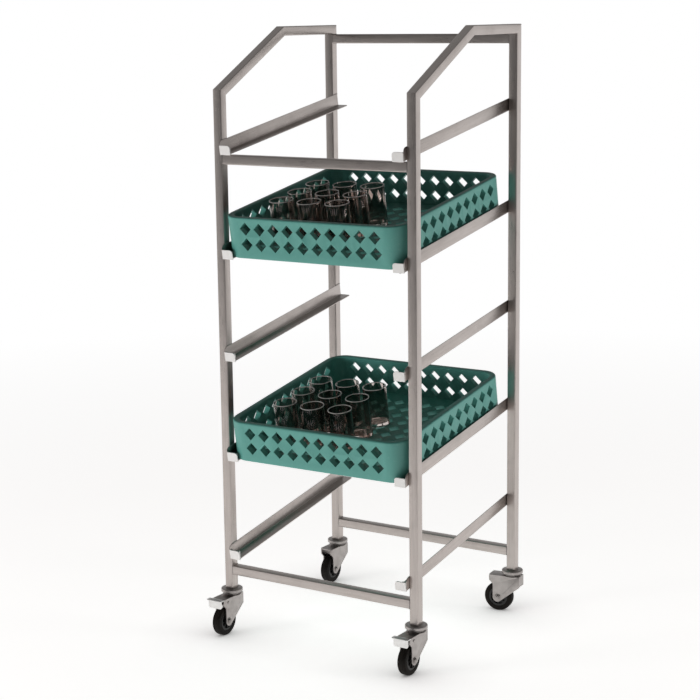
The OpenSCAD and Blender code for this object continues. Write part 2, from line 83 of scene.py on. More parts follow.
Colour = tuple[float, float, float, float]
Object = bpy.types.Object
X_AXIS = Vector((1.0, 0.0, 0.0))
Y_AXIS = Vector((0.0, 1.0, 0.0))
Z_AXIS = Vector((0.0, 0.0, 1.0))
QUARTER = math.pi / 2
PARALLEL = 0.95  # Least cosine of directions that count as parallel.
NEAR = 1e-5  # Distance of places that count as the same.
MATRIX_ROWS = 4  # Rows of a matrix that can also move a piece.
COARSE = 3.0  # Layers of a plain noise.
FINE = 6.0  # Layers of a noise with fine edges.
MEAN = 0.5  # Mean value of a noise.
MIX_COLOURS = (6, 7)  # Inputs of a Mix node that take colours.
MIX_RESULT = 2  # Its output that gives one.
ROD_SIDES = 64
PIN_SIDES = 32
BEAD_SIDES = 12
HEXAGON_SIDES = 6
FEW_STEPS = 2  # Faces across a small rounding.
STEPS = 4  # Faces across a rounding.
MANY_STEPS = 8  # Faces across a wide rounding.
CHAMFER = 0.14  # Chamfer of a hexagon, as a share of its height.
DOME = 0.75  # Rounding of a domed end, as a share of its radius or height.
FLAT_ANGLE = math.radians(0.6)  # Angle of faces that are joined up.
SHARP_ANGLE = math.radians(40)  # Least angle of an edge that is rounded.
SMOOTH_ANGLE = math.radians(32)  # Greatest angle of an edge that is shaded smooth.
ROUND_ANGLE = math.radians(60)  # The same on small round pieces.
BLACK = (0.0, 0.0, 0.0, 1.0)


class Side(Enum):
    """Side of the dolly, with the sign of its X."""

    LEFT = -1
    RIGHT = 1

    @property
    def word(self) -> str:
        """The side's name as the CAD nodes write it."""
        return self.name.lower()

    @property
    def mirror(self) -> Matrix:
        """Matrix that carries a piece of the right side to this side."""
        return Matrix.Scale(self.value, MATRIX_ROWS, X_AXIS)


class Corner(Enum):
    """Corner of the dolly that a caster stands under, named as the CAD nodes are."""

    FRONT_LEFT = "front_left"
    FRONT_RIGHT = "front_right"
    REAR_LEFT = "rear_left"
    REAR_RIGHT = "rear_right"

    @property
    def braked(self) -> bool:
        """Whether the corner's caster has a brake pedal."""
        return self in (Corner.FRONT_LEFT, Corner.FRONT_RIGHT)


class Level(Enum):
    """Rack that the dolly carries, with the word that its CAD nodes and body begin with."""

    LOWER = "lower"
    UPPER = "upper"


class Kind(Enum):
    """Kind of mesh element that a selection is made of."""

    VERT = "verts"
    EDGE = "edges"
    FACE = "faces"


class Signal:
    """Output of a shader node that takes part in Python expressions."""

    def __init__(self, shader: Shader, socket: bpy.types.NodeSocket) -> None:
        """Keeps the socket and the shader that it belongs to."""
        self.shader = shader
        self.socket = socket

    def _maths(self, operation: str, first: Value, second: Value) -> Signal:
        """Result of one Math node that takes two values."""
        return self.shader.add("ShaderNodeMath", {"operation": operation}, {0: first, 1: second})

    def __add__(self, other: Value) -> Signal:
        """This signal plus another value."""
        return self._maths("ADD", self, other)

    def __radd__(self, other: Value) -> Signal:
        """Another value plus this signal."""
        return self._maths("ADD", other, self)

    def __sub__(self, other: Value) -> Signal:
        """This signal less another value."""
        return self._maths("SUBTRACT", self, other)

    def __rsub__(self, other: Value) -> Signal:
        """Another value less this signal."""
        return self._maths("SUBTRACT", other, self)

    def __mul__(self, other: Value) -> Signal:
        """This signal times another value."""
        return self._maths("MULTIPLY", self, other)

    def __rmul__(self, other: Value) -> Signal:
        """Another value times this signal."""
        return self._maths("MULTIPLY", other, self)


Value = Signal | float | Sequence[float]


class Shader:
    """Node tree of one material or of the world, written as expressions."""

    def __init__(self, tree: bpy.types.NodeTree) -> None:
        """Takes an emptied node tree."""
        tree.nodes.clear()
        self.tree = tree

    def add(
        self,
        kind: str,
        settings: dict[str, object] | None = None,
        sockets: dict[str | int, Value] | None = None,
        output: str | int = 0,
    ) -> Signal:
        """Adds any node.

        Args:
            kind: Type of the node.
            settings: The node's own settings, which are set first. A ramp takes its stops here.
            sockets: Values or links of its inputs.
            output: The output that the signal stands for.

        Returns:
            The chosen output, or an empty signal for a node that has none.
        """
        node = self.tree.nodes.new(kind)
        for name, setting in (settings or {}).items():
            if name == "stops":
                self._set_stops(node.color_ramp.elements, setting)
            else:
                setattr(node, name, setting)
        for key, value in (sockets or {}).items():
            if isinstance(value, Signal):
                self.tree.links.new(value.socket, node.inputs[key])
            else:
                node.inputs[key].default_value = value
        return Signal(self, node.outputs[output] if node.outputs else None)

    @staticmethod
    def _set_stops(elements: bpy.types.bpy_prop_collection, stops: Sequence[tuple[float, Colour]]) -> None:
        """Gives a ramp its stops.

        Args:
            elements: The ramp's elements, two at first.
            stops: Place and colour of each stop.
        """
        while len(elements) < len(stops):
            elements.new(1.0)
        for element, (place, colour) in zip(elements, stops):
            element.position = place
            element.color = colour

    def vector(
        self, operation: str, first: Value, second: Value = (0, 0, 0), output: str = "Vector"
    ) -> Signal:
        """Result of one Vector Math node, with a second vector where the operation takes one."""
        return self.add("ShaderNodeVectorMath", {"operation": operation}, {0: first, 1: second}, output)

    def place(self) -> Signal:
        """Object coordinates, which are metres in the dolly's frame."""
        return self.add("ShaderNodeTexCoord", output="Object")

    def ray(self, kind: str) -> Signal:
        """1 for rays of one kind, such as camera rays, and 0 for all others."""
        return self.add("ShaderNodeLightPath", output=f"Is {kind} Ray")

    def seen(self) -> Signal:
        """1 for rays from the camera, also through glass, and 0 for all others."""
        straight, through = self.ray("Camera"), self.ray("Transmission")
        return self.add("ShaderNodeMath", {"operation": "MAXIMUM"}, {0: straight, 1: through})

    def drawn_out(self, place: Signal, grain: Sequence[float], share: float) -> Signal:
        """Coordinates that change slowly along a direction, so that a pattern runs along it.

        Args:
            place: Coordinates to change.
            grain: Unit direction that the pattern runs along.
            share: Share of the change along the grain that is kept.

        Returns:
            The changed coordinates.
        """
        along = self.vector("DOT_PRODUCT", place, grain, "Value")
        sockets = {0: grain, "Scale": along * (1 - share)}
        dropped = self.add("ShaderNodeVectorMath", {"operation": "SCALE"}, sockets)
        return self.vector("SUBTRACT", place, dropped)

    def noise(self, place: Signal, scale: float, detail: float = COARSE) -> Signal:
        """Smooth noise from 0 to 1, with so many cells to the metre and so many finer layers."""
        return self.add("ShaderNodeTexNoise", sockets={"Vector": place, "Scale": scale, "Detail": detail})

    def span(self, value: Signal, low: float, high: float) -> Signal:
        """Stretches the stretch of a value between two limits to 0 and 1.

        Args:
            value: Value to stretch.
            low: Value that becomes 0.
            high: Value that becomes 1.

        Returns:
            The stretched and clamped value.
        """
        return self.add(
            "ShaderNodeMapRange",
            {"clamp": True},
            {"Value": value, "From Min": low, "From Max": high},
        )

    def blend(self, share: Signal, first: Value, second: Value) -> Signal:
        """Mixes two colours.

        Args:
            share: Share of the second colour.
            first: Colour where the share is 0.
            second: Colour where the share is 1.

        Returns:
            The mixed colour.
        """
        return self.add(
            "ShaderNodeMix",
            {"data_type": "RGBA", "clamp_factor": True},
            {"Factor": share, **dict(zip(MIX_COLOURS, (first, second)))},
            MIX_RESULT,
        )

    def bump(self, height: Signal, strength: float, distance: float) -> Signal:
        """Turns a height into a normal.

        Args:
            height: Height from 0 to 1.
            strength: Share of the effect.
            distance: Height in metres that 1 stands for.

        Returns:
            The bumped normal.
        """
        return self.add(
            "ShaderNodeBump",
            sockets={"Height": height, "Strength": strength, "Distance": distance},
        )


@dataclass(frozen=True)
class Finish:
    """Surface finish that becomes one material.

    Attributes:
        name: Name of the material.
    """

    name: str

    def sockets(self, shader: Shader) -> dict[str, Value]:
        """Values and links of the surface's sockets, which each finish gives."""
        raise NotImplementedError

    def material(self) -> bpy.types.Material:
        """Makes the material, or finds the one made before.

        Returns:
            The material.
        """
        made = bpy.data.materials.get(self.name)
        if made is None:
            made = bpy.data.materials.new(self.name)
            made.use_nodes = True
            shader = Shader(made.node_tree)
            surface = shader.add("ShaderNodeBsdfPrincipled", sockets=self.sockets(shader))
            shader.add("ShaderNodeOutputMaterial", sockets={"Surface": surface})
        return made


@dataclass(frozen=True)
class SatinSteel(Finish):
    """Stainless steel brushed along one direction, with faint hand marks.

    Attributes:
        grain: Unit direction of the brush lines.
        bright: Colour of the polished strokes.
        dull: Colour between them.
        roughness: Mean roughness.
        strokes: Brush lines to the metre.
        stroke_share: Share of the change along the grain that the brush lines keep.
        bands: Broader streaks to the metre.
        band_share: Share of the change along the grain that the streaks keep.
        clouds: Cloudy patches to the metre.
        smudges: Hand marks to the metre.
        smudge_span: Noise where a hand mark begins, and where it is full.
        tones: Shares of the strokes, streaks and clouds in the colour.
        tone_span: Tone that is dull, and tone that is bright.
        roughening: What the strokes, clouds and hand marks add to the roughness.
        groove: Depth of a brush line.
        groove_shares: Shares of the strokes and streaks in the height.
        bump: Strength of the height.
    """

    grain: tuple[float, float, float]
    bright: Colour = (0.55, 0.50, 0.474, 1.0)
    dull: Colour = (0.42, 0.378, 0.354, 1.0)
    roughness: float = 0.31
    strokes: float = 1500.0
    stroke_share: float = 0.02
    bands: float = 170.0
    band_share: float = 0.06
    clouds: float = 8.0
    smudges: float = 42.0
    smudge_span: tuple[float, float] = (0.5, 0.75)
    tones: tuple[float, float, float] = (0.3, 0.4, 0.3)
    tone_span: tuple[float, float] = (0.32, 0.68)
    roughening: tuple[float, float, float] = (0.2, 0.12, 0.08)
    groove: float = 0.00012
    groove_shares: tuple[float, float] = (0.6, 0.4)
    bump: float = 0.35

    def sockets(self, shader: Shader) -> dict[str, Value]:
        """Brush lines in colour, roughness and height, under soft clouds.

        Args:
            shader: Shader that the nodes go into.

        Returns:
            The surface's sockets.
        """
        place = shader.place()
        strokes = shader.noise(shader.drawn_out(place, self.grain, self.stroke_share), self.strokes)
        bands = shader.noise(shader.drawn_out(place, self.grain, self.band_share), self.bands)
        clouds = shader.noise(place, self.clouds)
        smudges = shader.span(shader.noise(place, self.smudges, FINE), *self.smudge_span)
        stroke_tone, band_tone, cloud_tone = self.tones
        tone = strokes * stroke_tone + bands * band_tone + clouds * cloud_tone
        stroke_rough, cloud_rough, smudge_rough = self.roughening
        rough = (strokes - MEAN) * stroke_rough + (clouds - MEAN) * cloud_rough + smudges * smudge_rough
        stroke_deep, band_deep = self.groove_shares
        return {
            "Base Color": shader.blend(shader.span(tone, *self.tone_span), self.dull, self.bright),
            "Metallic": 1.0,
            "Roughness": self.roughness + rough,
            "Normal": shader.bump(strokes * stroke_deep + bands * band_deep, self.bump, self.groove),
        }


@dataclass(frozen=True)
class PlatedSteel(Finish):
    """Zinc-plated pressed steel with a faint spangle and dull patches.

    Attributes:
        bright: Colour of the plating.
        dull: Colour of its dull patches.
        roughness: Mean roughness.
        spangle: Spangles to the metre.
        spangle_mean: Mean distance from a spangle's middle, in spangles.
        patches: Dull patches to the metre.
        patch_span: Noise where a dull patch begins, and where it is full.
        tones: Shares of the patches and spangles in the colour.
        roughening: What the patches and spangles add to the roughness.
        grit: Fine grains to the metre.
        relief: Height of the fine grain.
        relief_shares: Shares of the grains and spangles in the height.
        bump: Strength of the height.
    """

    bright: Colour = (0.44, 0.41, 0.395, 1.0)
    dull: Colour = (0.36, 0.332, 0.318, 1.0)
    roughness: float = 0.34
    spangle: float = 320.0
    spangle_mean: float = 0.4
    patches: float = 60.0
    patch_span: tuple[float, float] = (0.38, 0.7)
    tones: tuple[float, float] = (0.6, 0.3)
    roughening: tuple[float, float] = (0.1, 0.08)
    grit: float = 2600.0
    relief: float = 0.00008
    relief_shares: tuple[float, float] = (0.7, 0.3)
    bump: float = 0.3

    def sockets(self, shader: Shader) -> dict[str, Value]:
        """Spangle and patches in colour and roughness, with a fine grain.

        Args:
            shader: Shader that the nodes go into.

        Returns:
            The surface's sockets.
        """
        place = shader.place()
        cells = shader.add(
            "ShaderNodeTexVoronoi",
            {"feature": "F1"},
            {"Vector": place, "Scale": self.spangle},
            "Distance",
        )
        patches = shader.span(shader.noise(place, self.patches, FINE), *self.patch_span)
        grit = shader.noise(place, self.grit)
        patch_tone, cell_tone = self.tones
        patch_rough, cell_rough = self.roughening
        grit_rise, cell_rise = self.relief_shares
        return {
            "Base Color": shader.blend(patches * patch_tone + cells * cell_tone, self.bright, self.dull),
            "Metallic": 1.0,
            "Roughness": self.roughness + patches * patch_rough + (cells - self.spangle_mean) * cell_rough,
            "Normal": shader.bump(grit * grit_rise + cells * cell_rise, self.bump, self.relief),
        }


@dataclass(frozen=True)
class MouldedPlastic(Finish):
    """Moulded plastic with a fine spark-eroded texture, flow clouds and light scuffs.

    Attributes:
        colour: Main colour.
        cloud: Colour of the flow clouds.
        scuff: Colour of the scuffs.
        scuffed: Share of the scuffs that shows.
        roughness: Mean roughness.
        texture: Grains of the moulded texture to the metre.
        clouds: Flow clouds to the metre.
        cloud_span: Noise where a cloud begins, and where it is full.
        scuffs: Scuffs to the metre.
        scuff_span: Noise where a scuff begins, and where it is full.
        roughening: What the clouds and scuffs add to the roughness.
        relief: Height of the moulded texture.
        bump: Strength of the height.
    """

    colour: Colour
    cloud: Colour
    scuff: Colour
    scuffed: float = 0.25
    roughness: float = 0.46
    texture: float = 1700.0
    clouds: float = 14.0
    cloud_span: tuple[float, float] = (0.3, 0.7)
    scuffs: float = 95.0
    scuff_span: tuple[float, float] = (0.56, 0.72)
    roughening: tuple[float, float] = (0.12, 0.3)
    relief: float = 0.00012
    bump: float = 0.3

    def sockets(self, shader: Shader) -> dict[str, Value]:
        """Clouds and scuffs in colour and roughness, with the moulded texture as height.

        Args:
            shader: Shader that the nodes go into.

        Returns:
            The surface's sockets.
        """
        place = shader.place()
        clouds = shader.noise(place, self.clouds)
        scuffs = shader.span(shader.noise(place, self.scuffs, FINE), *self.scuff_span) * self.scuffed
        texture = shader.noise(place, self.texture)
        base = shader.blend(shader.span(clouds, *self.cloud_span), self.colour, self.cloud)
        cloud_rough, scuff_rough = self.roughening
        return {
            "Base Color": shader.blend(scuffs, base, self.scuff),
            "Roughness": self.roughness + (clouds - MEAN) * cloud_rough + scuffs * scuff_rough,
            "Normal": shader.bump(texture, self.bump, self.relief),
        }


@dataclass(frozen=True)
class DustyRubber(Finish):
    """Black rubber with a matt skin and floor dust.

    Attributes:
        black: Colour of the rubber.
        dust: Colour of the dust.
        roughness: Mean roughness.
        shine: Specular level of the skin.
        grain: Grains of the skin to the metre.
        dusting: Patches of dust to the metre.
        dust_span: Noise where a patch of dust begins, and where it is full.
        tones: Shares of the dust and grain in the colour.
        roughening: What the dust and grain add to the roughness.
        relief: Height of the skin's grain.
        bump: Strength of the height.
    """

    black: Colour = (0.006, 0.0048, 0.0038, 1.0)
    dust: Colour = (0.024, 0.020, 0.016, 1.0)
    roughness: float = 0.62
    shine: float = 0.15
    grain: float = 1300.0
    dusting: float = 70.0
    dust_span: tuple[float, float] = (0.48, 0.8)
    tones: tuple[float, float] = (0.6, 0.15)
    roughening: tuple[float, float] = (0.25, 0.12)
    relief: float = 0.0002
    bump: float = 0.4

    def sockets(self, shader: Shader) -> dict[str, Value]:
        """Dust in colour and roughness, with a grain as height.

        Args:
            shader: Shader that the nodes go into.

        Returns:
            The surface's sockets.
        """
        place = shader.place()
        dust = shader.span(shader.noise(place, self.dusting, FINE), *self.dust_span)
        grain = shader.noise(place, self.grain)
        dust_tone, grain_tone = self.tones
        dust_rough, grain_rough = self.roughening
        return {
            "Base Color": shader.blend(dust * dust_tone + grain * grain_tone, self.black, self.dust),
            "Roughness": self.roughness + dust * dust_rough + (grain - MEAN) * grain_rough,
            "Specular IOR Level": self.shine,
            "Normal": shader.bump(grain, self.bump, self.relief),
        }


@dataclass(frozen=True)
class SmokedGlass(Finish):
    """Smoke-tinted drinking glass with faint water marks.

    Attributes:
        tint: Colour that the glass lets through.
        marks: Water marks to the metre.
        mark_span: Noise where a water mark begins, and where it is full.
        polish: Roughness of the clean glass.
        film: Roughness that a water mark adds.
        clearness: Share of the light that goes through.
        bending: How strongly the glass bends light.
    """

    tint: Colour = (0.60, 0.53, 0.50, 1.0)
    marks: float = 130.0
    mark_span: tuple[float, float] = (0.55, 0.75)
    polish: float = 0.015
    film: float = 0.07
    clearness: float = 1.0
    bending: float = 1.5

    def sockets(self, shader: Shader) -> dict[str, Value]:
        """Clear tinted glass whose roughness follows the water marks.

        Args:
            shader: Shader that the nodes go into.

        Returns:
            The surface's sockets.
        """
        marks = shader.span(shader.noise(shader.place(), self.marks, FINE), *self.mark_span)
        return {
            "Base Color": self.tint,
            "Roughness": self.polish + marks * self.film,
            "Transmission Weight": self.clearness,
            "IOR": self.bending,
        }


BOLT_STEEL = PlatedSteel("bolt steel")
PRESSED_STEEL = PlatedSteel("plated steel")
WELD_STEEL = PlatedSteel("weld bead", spangle=700.0)
PLUG_PLASTIC = MouldedPlastic(
    "plug plastic",
    colour=(0.05, 0.05, 0.052, 1.0),
    cloud=(0.06, 0.06, 0.062, 1.0),
    scuff=(0.12, 0.12, 0.12, 1.0),
)


def facing(way: Vector) -> Euler:
    """Turn that points a piece's own Z along a direction."""
    return way.to_track_quat("Z", "Y").to_euler()


def turned(angle: float, axis: str) -> Matrix:
    """Matrix that turns a piece about one of the frame's axes."""
    return Matrix.Rotation(angle, MATRIX_ROWS, axis)


class Bench:
    """Workbench that shapes one mesh at a time with the edit-mode tools."""

    @staticmethod
    def take(piece: Object | None) -> None:
        """Deselects everything, then selects one piece.

        Args:
            piece: Piece to select and make active, if any.
        """
        bpy.ops.object.select_all(action="DESELECT")
        if piece is not None:
            piece.select_set(True)
            bpy.context.view_layer.objects.active = piece

    @staticmethod
    def label(piece: Object, name: str) -> None:
        """Names a piece and its mesh."""
        piece.name = name
        piece.data.name = name

    def settle(self, name: str) -> Object:
        """Names the active piece and puts its place, turn and size into its mesh.

        Args:
            name: Name of the piece.

        Returns:
            The piece, at the origin.
        """
        piece = bpy.context.active_object
        bpy.ops.object.transform_apply(location=True, rotation=True, scale=True)
        self.label(piece, name)
        return piece

    def block(self, name: str, middle: Vector, size: Vector, turn: Sequence[float] = (0, 0, 0)) -> Object:
        """Adds a block.

        Args:
            name: Name of the piece.
            middle: Middle of the block.
            size: Its lengths along its own axes.
            turn: Its turn about X, Y and Z.

        Returns:
            The block.
        """
        self.take(None)
        bpy.ops.mesh.primitive_cube_add(size=1, location=middle, rotation=turn, scale=size)
        return self.settle(name)

    def sheet(self, name: str, middle: Vector, size: Vector, turn: Sequence[float] = (0, 0, 0)) -> Object:
        """Adds a flat rectangle.

        Args:
            name: Name of the piece.
            middle: Middle of the rectangle.
            size: Its lengths along its own axes.
            turn: Its turn about X, Y and Z.

        Returns:
            The rectangle.
        """
        self.take(None)
        bpy.ops.mesh.primitive_plane_add(size=1, location=middle, rotation=turn)
        bpy.context.active_object.scale = size
        return self.settle(name)

    def rod(
        self,
        name: str,
        middle: Vector,
        radius: float,
        length: float,
        turn: Sequence[float] = (0, 0, 0),
        sides: int = ROD_SIDES,
    ) -> Object:
        """Adds a round or many-sided rod.

        Args:
            name: Name of the piece.
            middle: Middle of the rod.
            radius: Radius to its corners.
            length: Length along its own Z.
            turn: Its turn about X, Y and Z.
            sides: Number of sides.

        Returns:
            The rod.
        """
        self.take(None)
        bpy.ops.mesh.primitive_cylinder_add(
            vertices=sides, radius=radius, depth=length, location=middle, rotation=turn
        )
        return self.settle(name)

    @contextmanager
    def edit(self, piece: Object) -> Iterator[None]:
        """Holds a piece in edit mode.

        Args:
            piece: Piece to edit.

        Yields:
            Nothing.
        """
        self.take(piece)
        bpy.ops.object.mode_set(mode="EDIT")
        yield
        bpy.ops.object.mode_set(mode="OBJECT")

    @staticmethod
    def pick(piece: Object, kind: Kind, test: Callable[[Vector, Vector], bool]) -> None:
        """Selects the elements of a piece in edit mode that pass a test.

        Args:
            piece: Piece in edit mode.
            kind: Kind of element.
            test: Test of an element's middle and its direction, which is a face's or vertex's normal or the
                direction along an edge.
        """
        bpy.ops.mesh.select_mode(type=kind.name)
        bpy.ops.mesh.select_all(action="DESELECT")
        mesh = bmesh.from_edit_mesh(piece.data)
        for part in getattr(mesh, kind.value):
            if kind is Kind.VERT:
                middle, direction = part.co, part.normal
            elif kind is Kind.EDGE:
                start, end = (vert.co for vert in part.verts)
                middle, direction = (start + end) / 2, (end - start).normalized()
            else:
                middle, direction = part.calc_center_median(), part.normal
            if test(middle, direction):
                part.select_set(True)
        mesh.select_flush_mode()
        bmesh.update_edit_mesh(piece.data)

    def pick_ends(self, piece: Object, way: Vector, both: bool = False) -> None:
        """Selects the faces of a piece in edit mode that look along a direction.

        Args:
            piece: Piece in edit mode.
            way: Unit direction.
            both: Whether the faces that look the other way are selected too.
        """
        self.pick(
            piece,
            Kind.FACE,
            lambda spot, normal: normal.dot(way) > PARALLEL or both and normal.dot(way) < -PARALLEL,
        )

    def round_ends(
        self, piece: Object, way: Vector, width: float, steps: int = STEPS, both: bool = False
    ) -> None:
        """Rounds the rim of the faces of a piece in edit mode that look along a direction, or both ways."""
        self.pick_ends(piece, way, both)
        self.round_off(width, steps)

    def bore(self, piece: Object, way: Vector, wall: float) -> None:
        """Opens a piece in edit mode from end to end.

        Args:
            piece: Piece in edit mode.
            way: Unit direction of the hole.
            wall: Wall that is left round it.
        """
        self.pick_ends(piece, way, True)
        bpy.ops.mesh.inset(thickness=wall)
        self.close_tunnel()

    @staticmethod
    def split(spot: Vector, normal: Vector) -> None:
        """Cuts the faces of the piece in edit mode along a plane."""
        bpy.ops.mesh.select_all(action="SELECT")
        bpy.ops.mesh.bisect(plane_co=spot, plane_no=normal)

    @staticmethod
    def round_off(width: float, steps: int = STEPS, kind: Kind = Kind.EDGE) -> None:
        """Rounds the selected edges, or the selected corners of a sheet."""
        affect = "VERTICES" if kind is Kind.VERT else "EDGES"
        bpy.ops.mesh.bevel(offset=width, segments=steps, affect=affect)

    @staticmethod
    def sink(depth: float) -> None:
        """Extrudes the selected faces inwards, against their normals."""
        bpy.ops.mesh.extrude_region_shrink_fatten(TRANSFORM_OT_shrink_fatten={"value": -depth})

    @staticmethod
    def draw_out(shift: Vector) -> None:
        """Extrudes the selected faces by a shift."""
        bpy.ops.mesh.extrude_region_move(TRANSFORM_OT_translate={"value": shift})

    @staticmethod
    def close_tunnel() -> None:
        """Joins the two selected faces or open loops with a wall, and turns all faces outwards."""
        bpy.ops.mesh.bridge_edge_loops()
        bpy.ops.mesh.select_all(action="SELECT")
        bpy.ops.mesh.normals_make_consistent(inside=False)

    def apply(self, piece: Object, kind: str, **settings: object) -> None:
        """Adds a modifier and applies it.

        Args:
            piece: Piece to change.
            kind: Type of the modifier.
            **settings: The modifier's settings.
        """
        modifier = piece.modifiers.new(kind.lower(), kind)
        for name, setting in settings.items():
            setattr(modifier, name, setting)
        self.take(piece)
        bpy.ops.object.modifier_apply(modifier=modifier.name)

    def carve(self, piece: Object, tool: Object, add: bool = False) -> None:
        """Cuts a piece with a tool, or adds the tool to it, and deletes the tool.

        Args:
            piece: Piece to change.
            tool: Piece that is used up.
            add: Whether the tool is added.
        """
        operation = "UNION" if add else "DIFFERENCE"
        self.apply(piece, "BOOLEAN", operation=operation, object=tool, solver="EXACT")
        self.drop(tool)

    def soften(self, piece: Object, width: float) -> None:
        """Rounds a piece's sharp edges and shades the rest smooth.

        Args:
            piece: Piece to change.
            width: Width of the rounding.
        """
        self.apply(
            piece,
            "BEVEL",
            width=width,
            segments=FEW_STEPS,
            limit_method="ANGLE",
            angle_limit=SHARP_ANGLE,
        )
        self.smooth(piece)

    def smooth(self, piece: Object, angle: float = SMOOTH_ANGLE) -> None:
        """Shades a piece smooth, apart from edges over an angle."""
        self.take(piece)
        bpy.ops.object.shade_smooth_by_angle(angle=angle)

    def put(self, piece: Object, name: str, place: Matrix) -> Object:
        """Copies a piece, with its own mesh, to another place.

        Args:
            piece: Piece to copy.
            name: Name of the copy.
            place: Matrix that carries the piece to the copy's place, which may mirror it.

        Returns:
            The copy, at the origin.
        """
        self.take(piece)
        bpy.ops.object.duplicate(linked=False)
        twin = bpy.context.active_object
        twin.data.transform(place)
        if place.determinant() < 0:
            twin.data.flip_normals()
        self.label(twin, name)
        return twin

    def from_node(self, node: str, name: str) -> Object:
        """Copies a CAD node's mesh as the start of a new piece, with its triangles joined up.

        Args:
            node: Name of the node.
            name: Name of the piece.

        Returns:
            The piece.
        """
        self.take(frame["nodes"][node])
        bpy.ops.object.duplicate(linked=False)
        piece = bpy.context.active_object
        piece.parent = None
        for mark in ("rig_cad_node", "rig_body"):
            del piece[mark]
        with self.edit(piece):
            bpy.ops.mesh.select_all(action="SELECT")
            bpy.ops.mesh.remove_doubles(threshold=NEAR)
            bpy.ops.mesh.dissolve_limited(angle_limit=FLAT_ANGLE)
        self.label(piece, name)
        return piece

    def hexagon(self, name: str, middle: Vector, way: Vector, corner: float, rise: float) -> Object:
        """Adds a hexagon with chamfered edges on its outer face.

        Args:
            name: Name of the piece.
            middle: Middle of the hexagon.
            way: Unit direction of its outer face.
            corner: Radius to its corners.
            rise: Its height.

        Returns:
            The hexagon.
        """
        piece = self.rod(name, middle, corner, rise, facing(way), HEXAGON_SIDES)
        with self.edit(piece):
            self.round_ends(piece, way, rise * CHAMFER, FEW_STEPS)
        return piece

    def join(self, name: str, first: Object, *others: Object) -> Object:
        """Joins pieces into one mesh.

        Args:
            name: Name of the joined piece.
            first: Piece that the others are joined to.
            *others: The other pieces.

        Returns:
            The joined piece.
        """
        self.take(first)
        for other in others:
            other.select_set(True)
        bpy.ops.object.join()
        return self.settle(name)

    def drop(self, piece: Object) -> None:
        """Deletes a pattern piece after its last copy."""
        self.take(piece)
        bpy.ops.object.delete()


@dataclass(frozen=True)
class Fitting:
    """What a finished piece belongs to.

    Attributes:
        body: CAD body that it rides on.
        slot: Material slot of the record; not used.
        finish: Its finish.
    """

    body: str
    slot: str
    finish: Finish

    def fit(self, piece: Object, *nodes: str) -> Object:
        """Dresses a piece and fixes it to its body.

        Args:
            piece: Finished piece.
            *nodes: CAD nodes that it stands for.

        Returns:
            The piece.
        """
        piece.data.materials.clear()
        piece.data.materials.append(self.finish.material())
        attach(piece, self.body)
        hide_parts(*nodes)
        LOG.info("%s rides on %s and stands for %s", piece.name, self.body, ", ".join(nodes) or "a detail")
        return piece


def slope_axis() -> Vector:
    """Direction up along the runners, which the racks slide along."""
    slide = next(joint for joint in frame["joints"] if joint["name"] == "lower_rack_slide")
    return Vector(slide["axis"])


def slope_turn() -> Matrix:
    """Matrix that tilts a level piece to the runners' slope."""
    axis = slope_axis()
    return turned(math.atan2(axis.z, axis.y), "X")


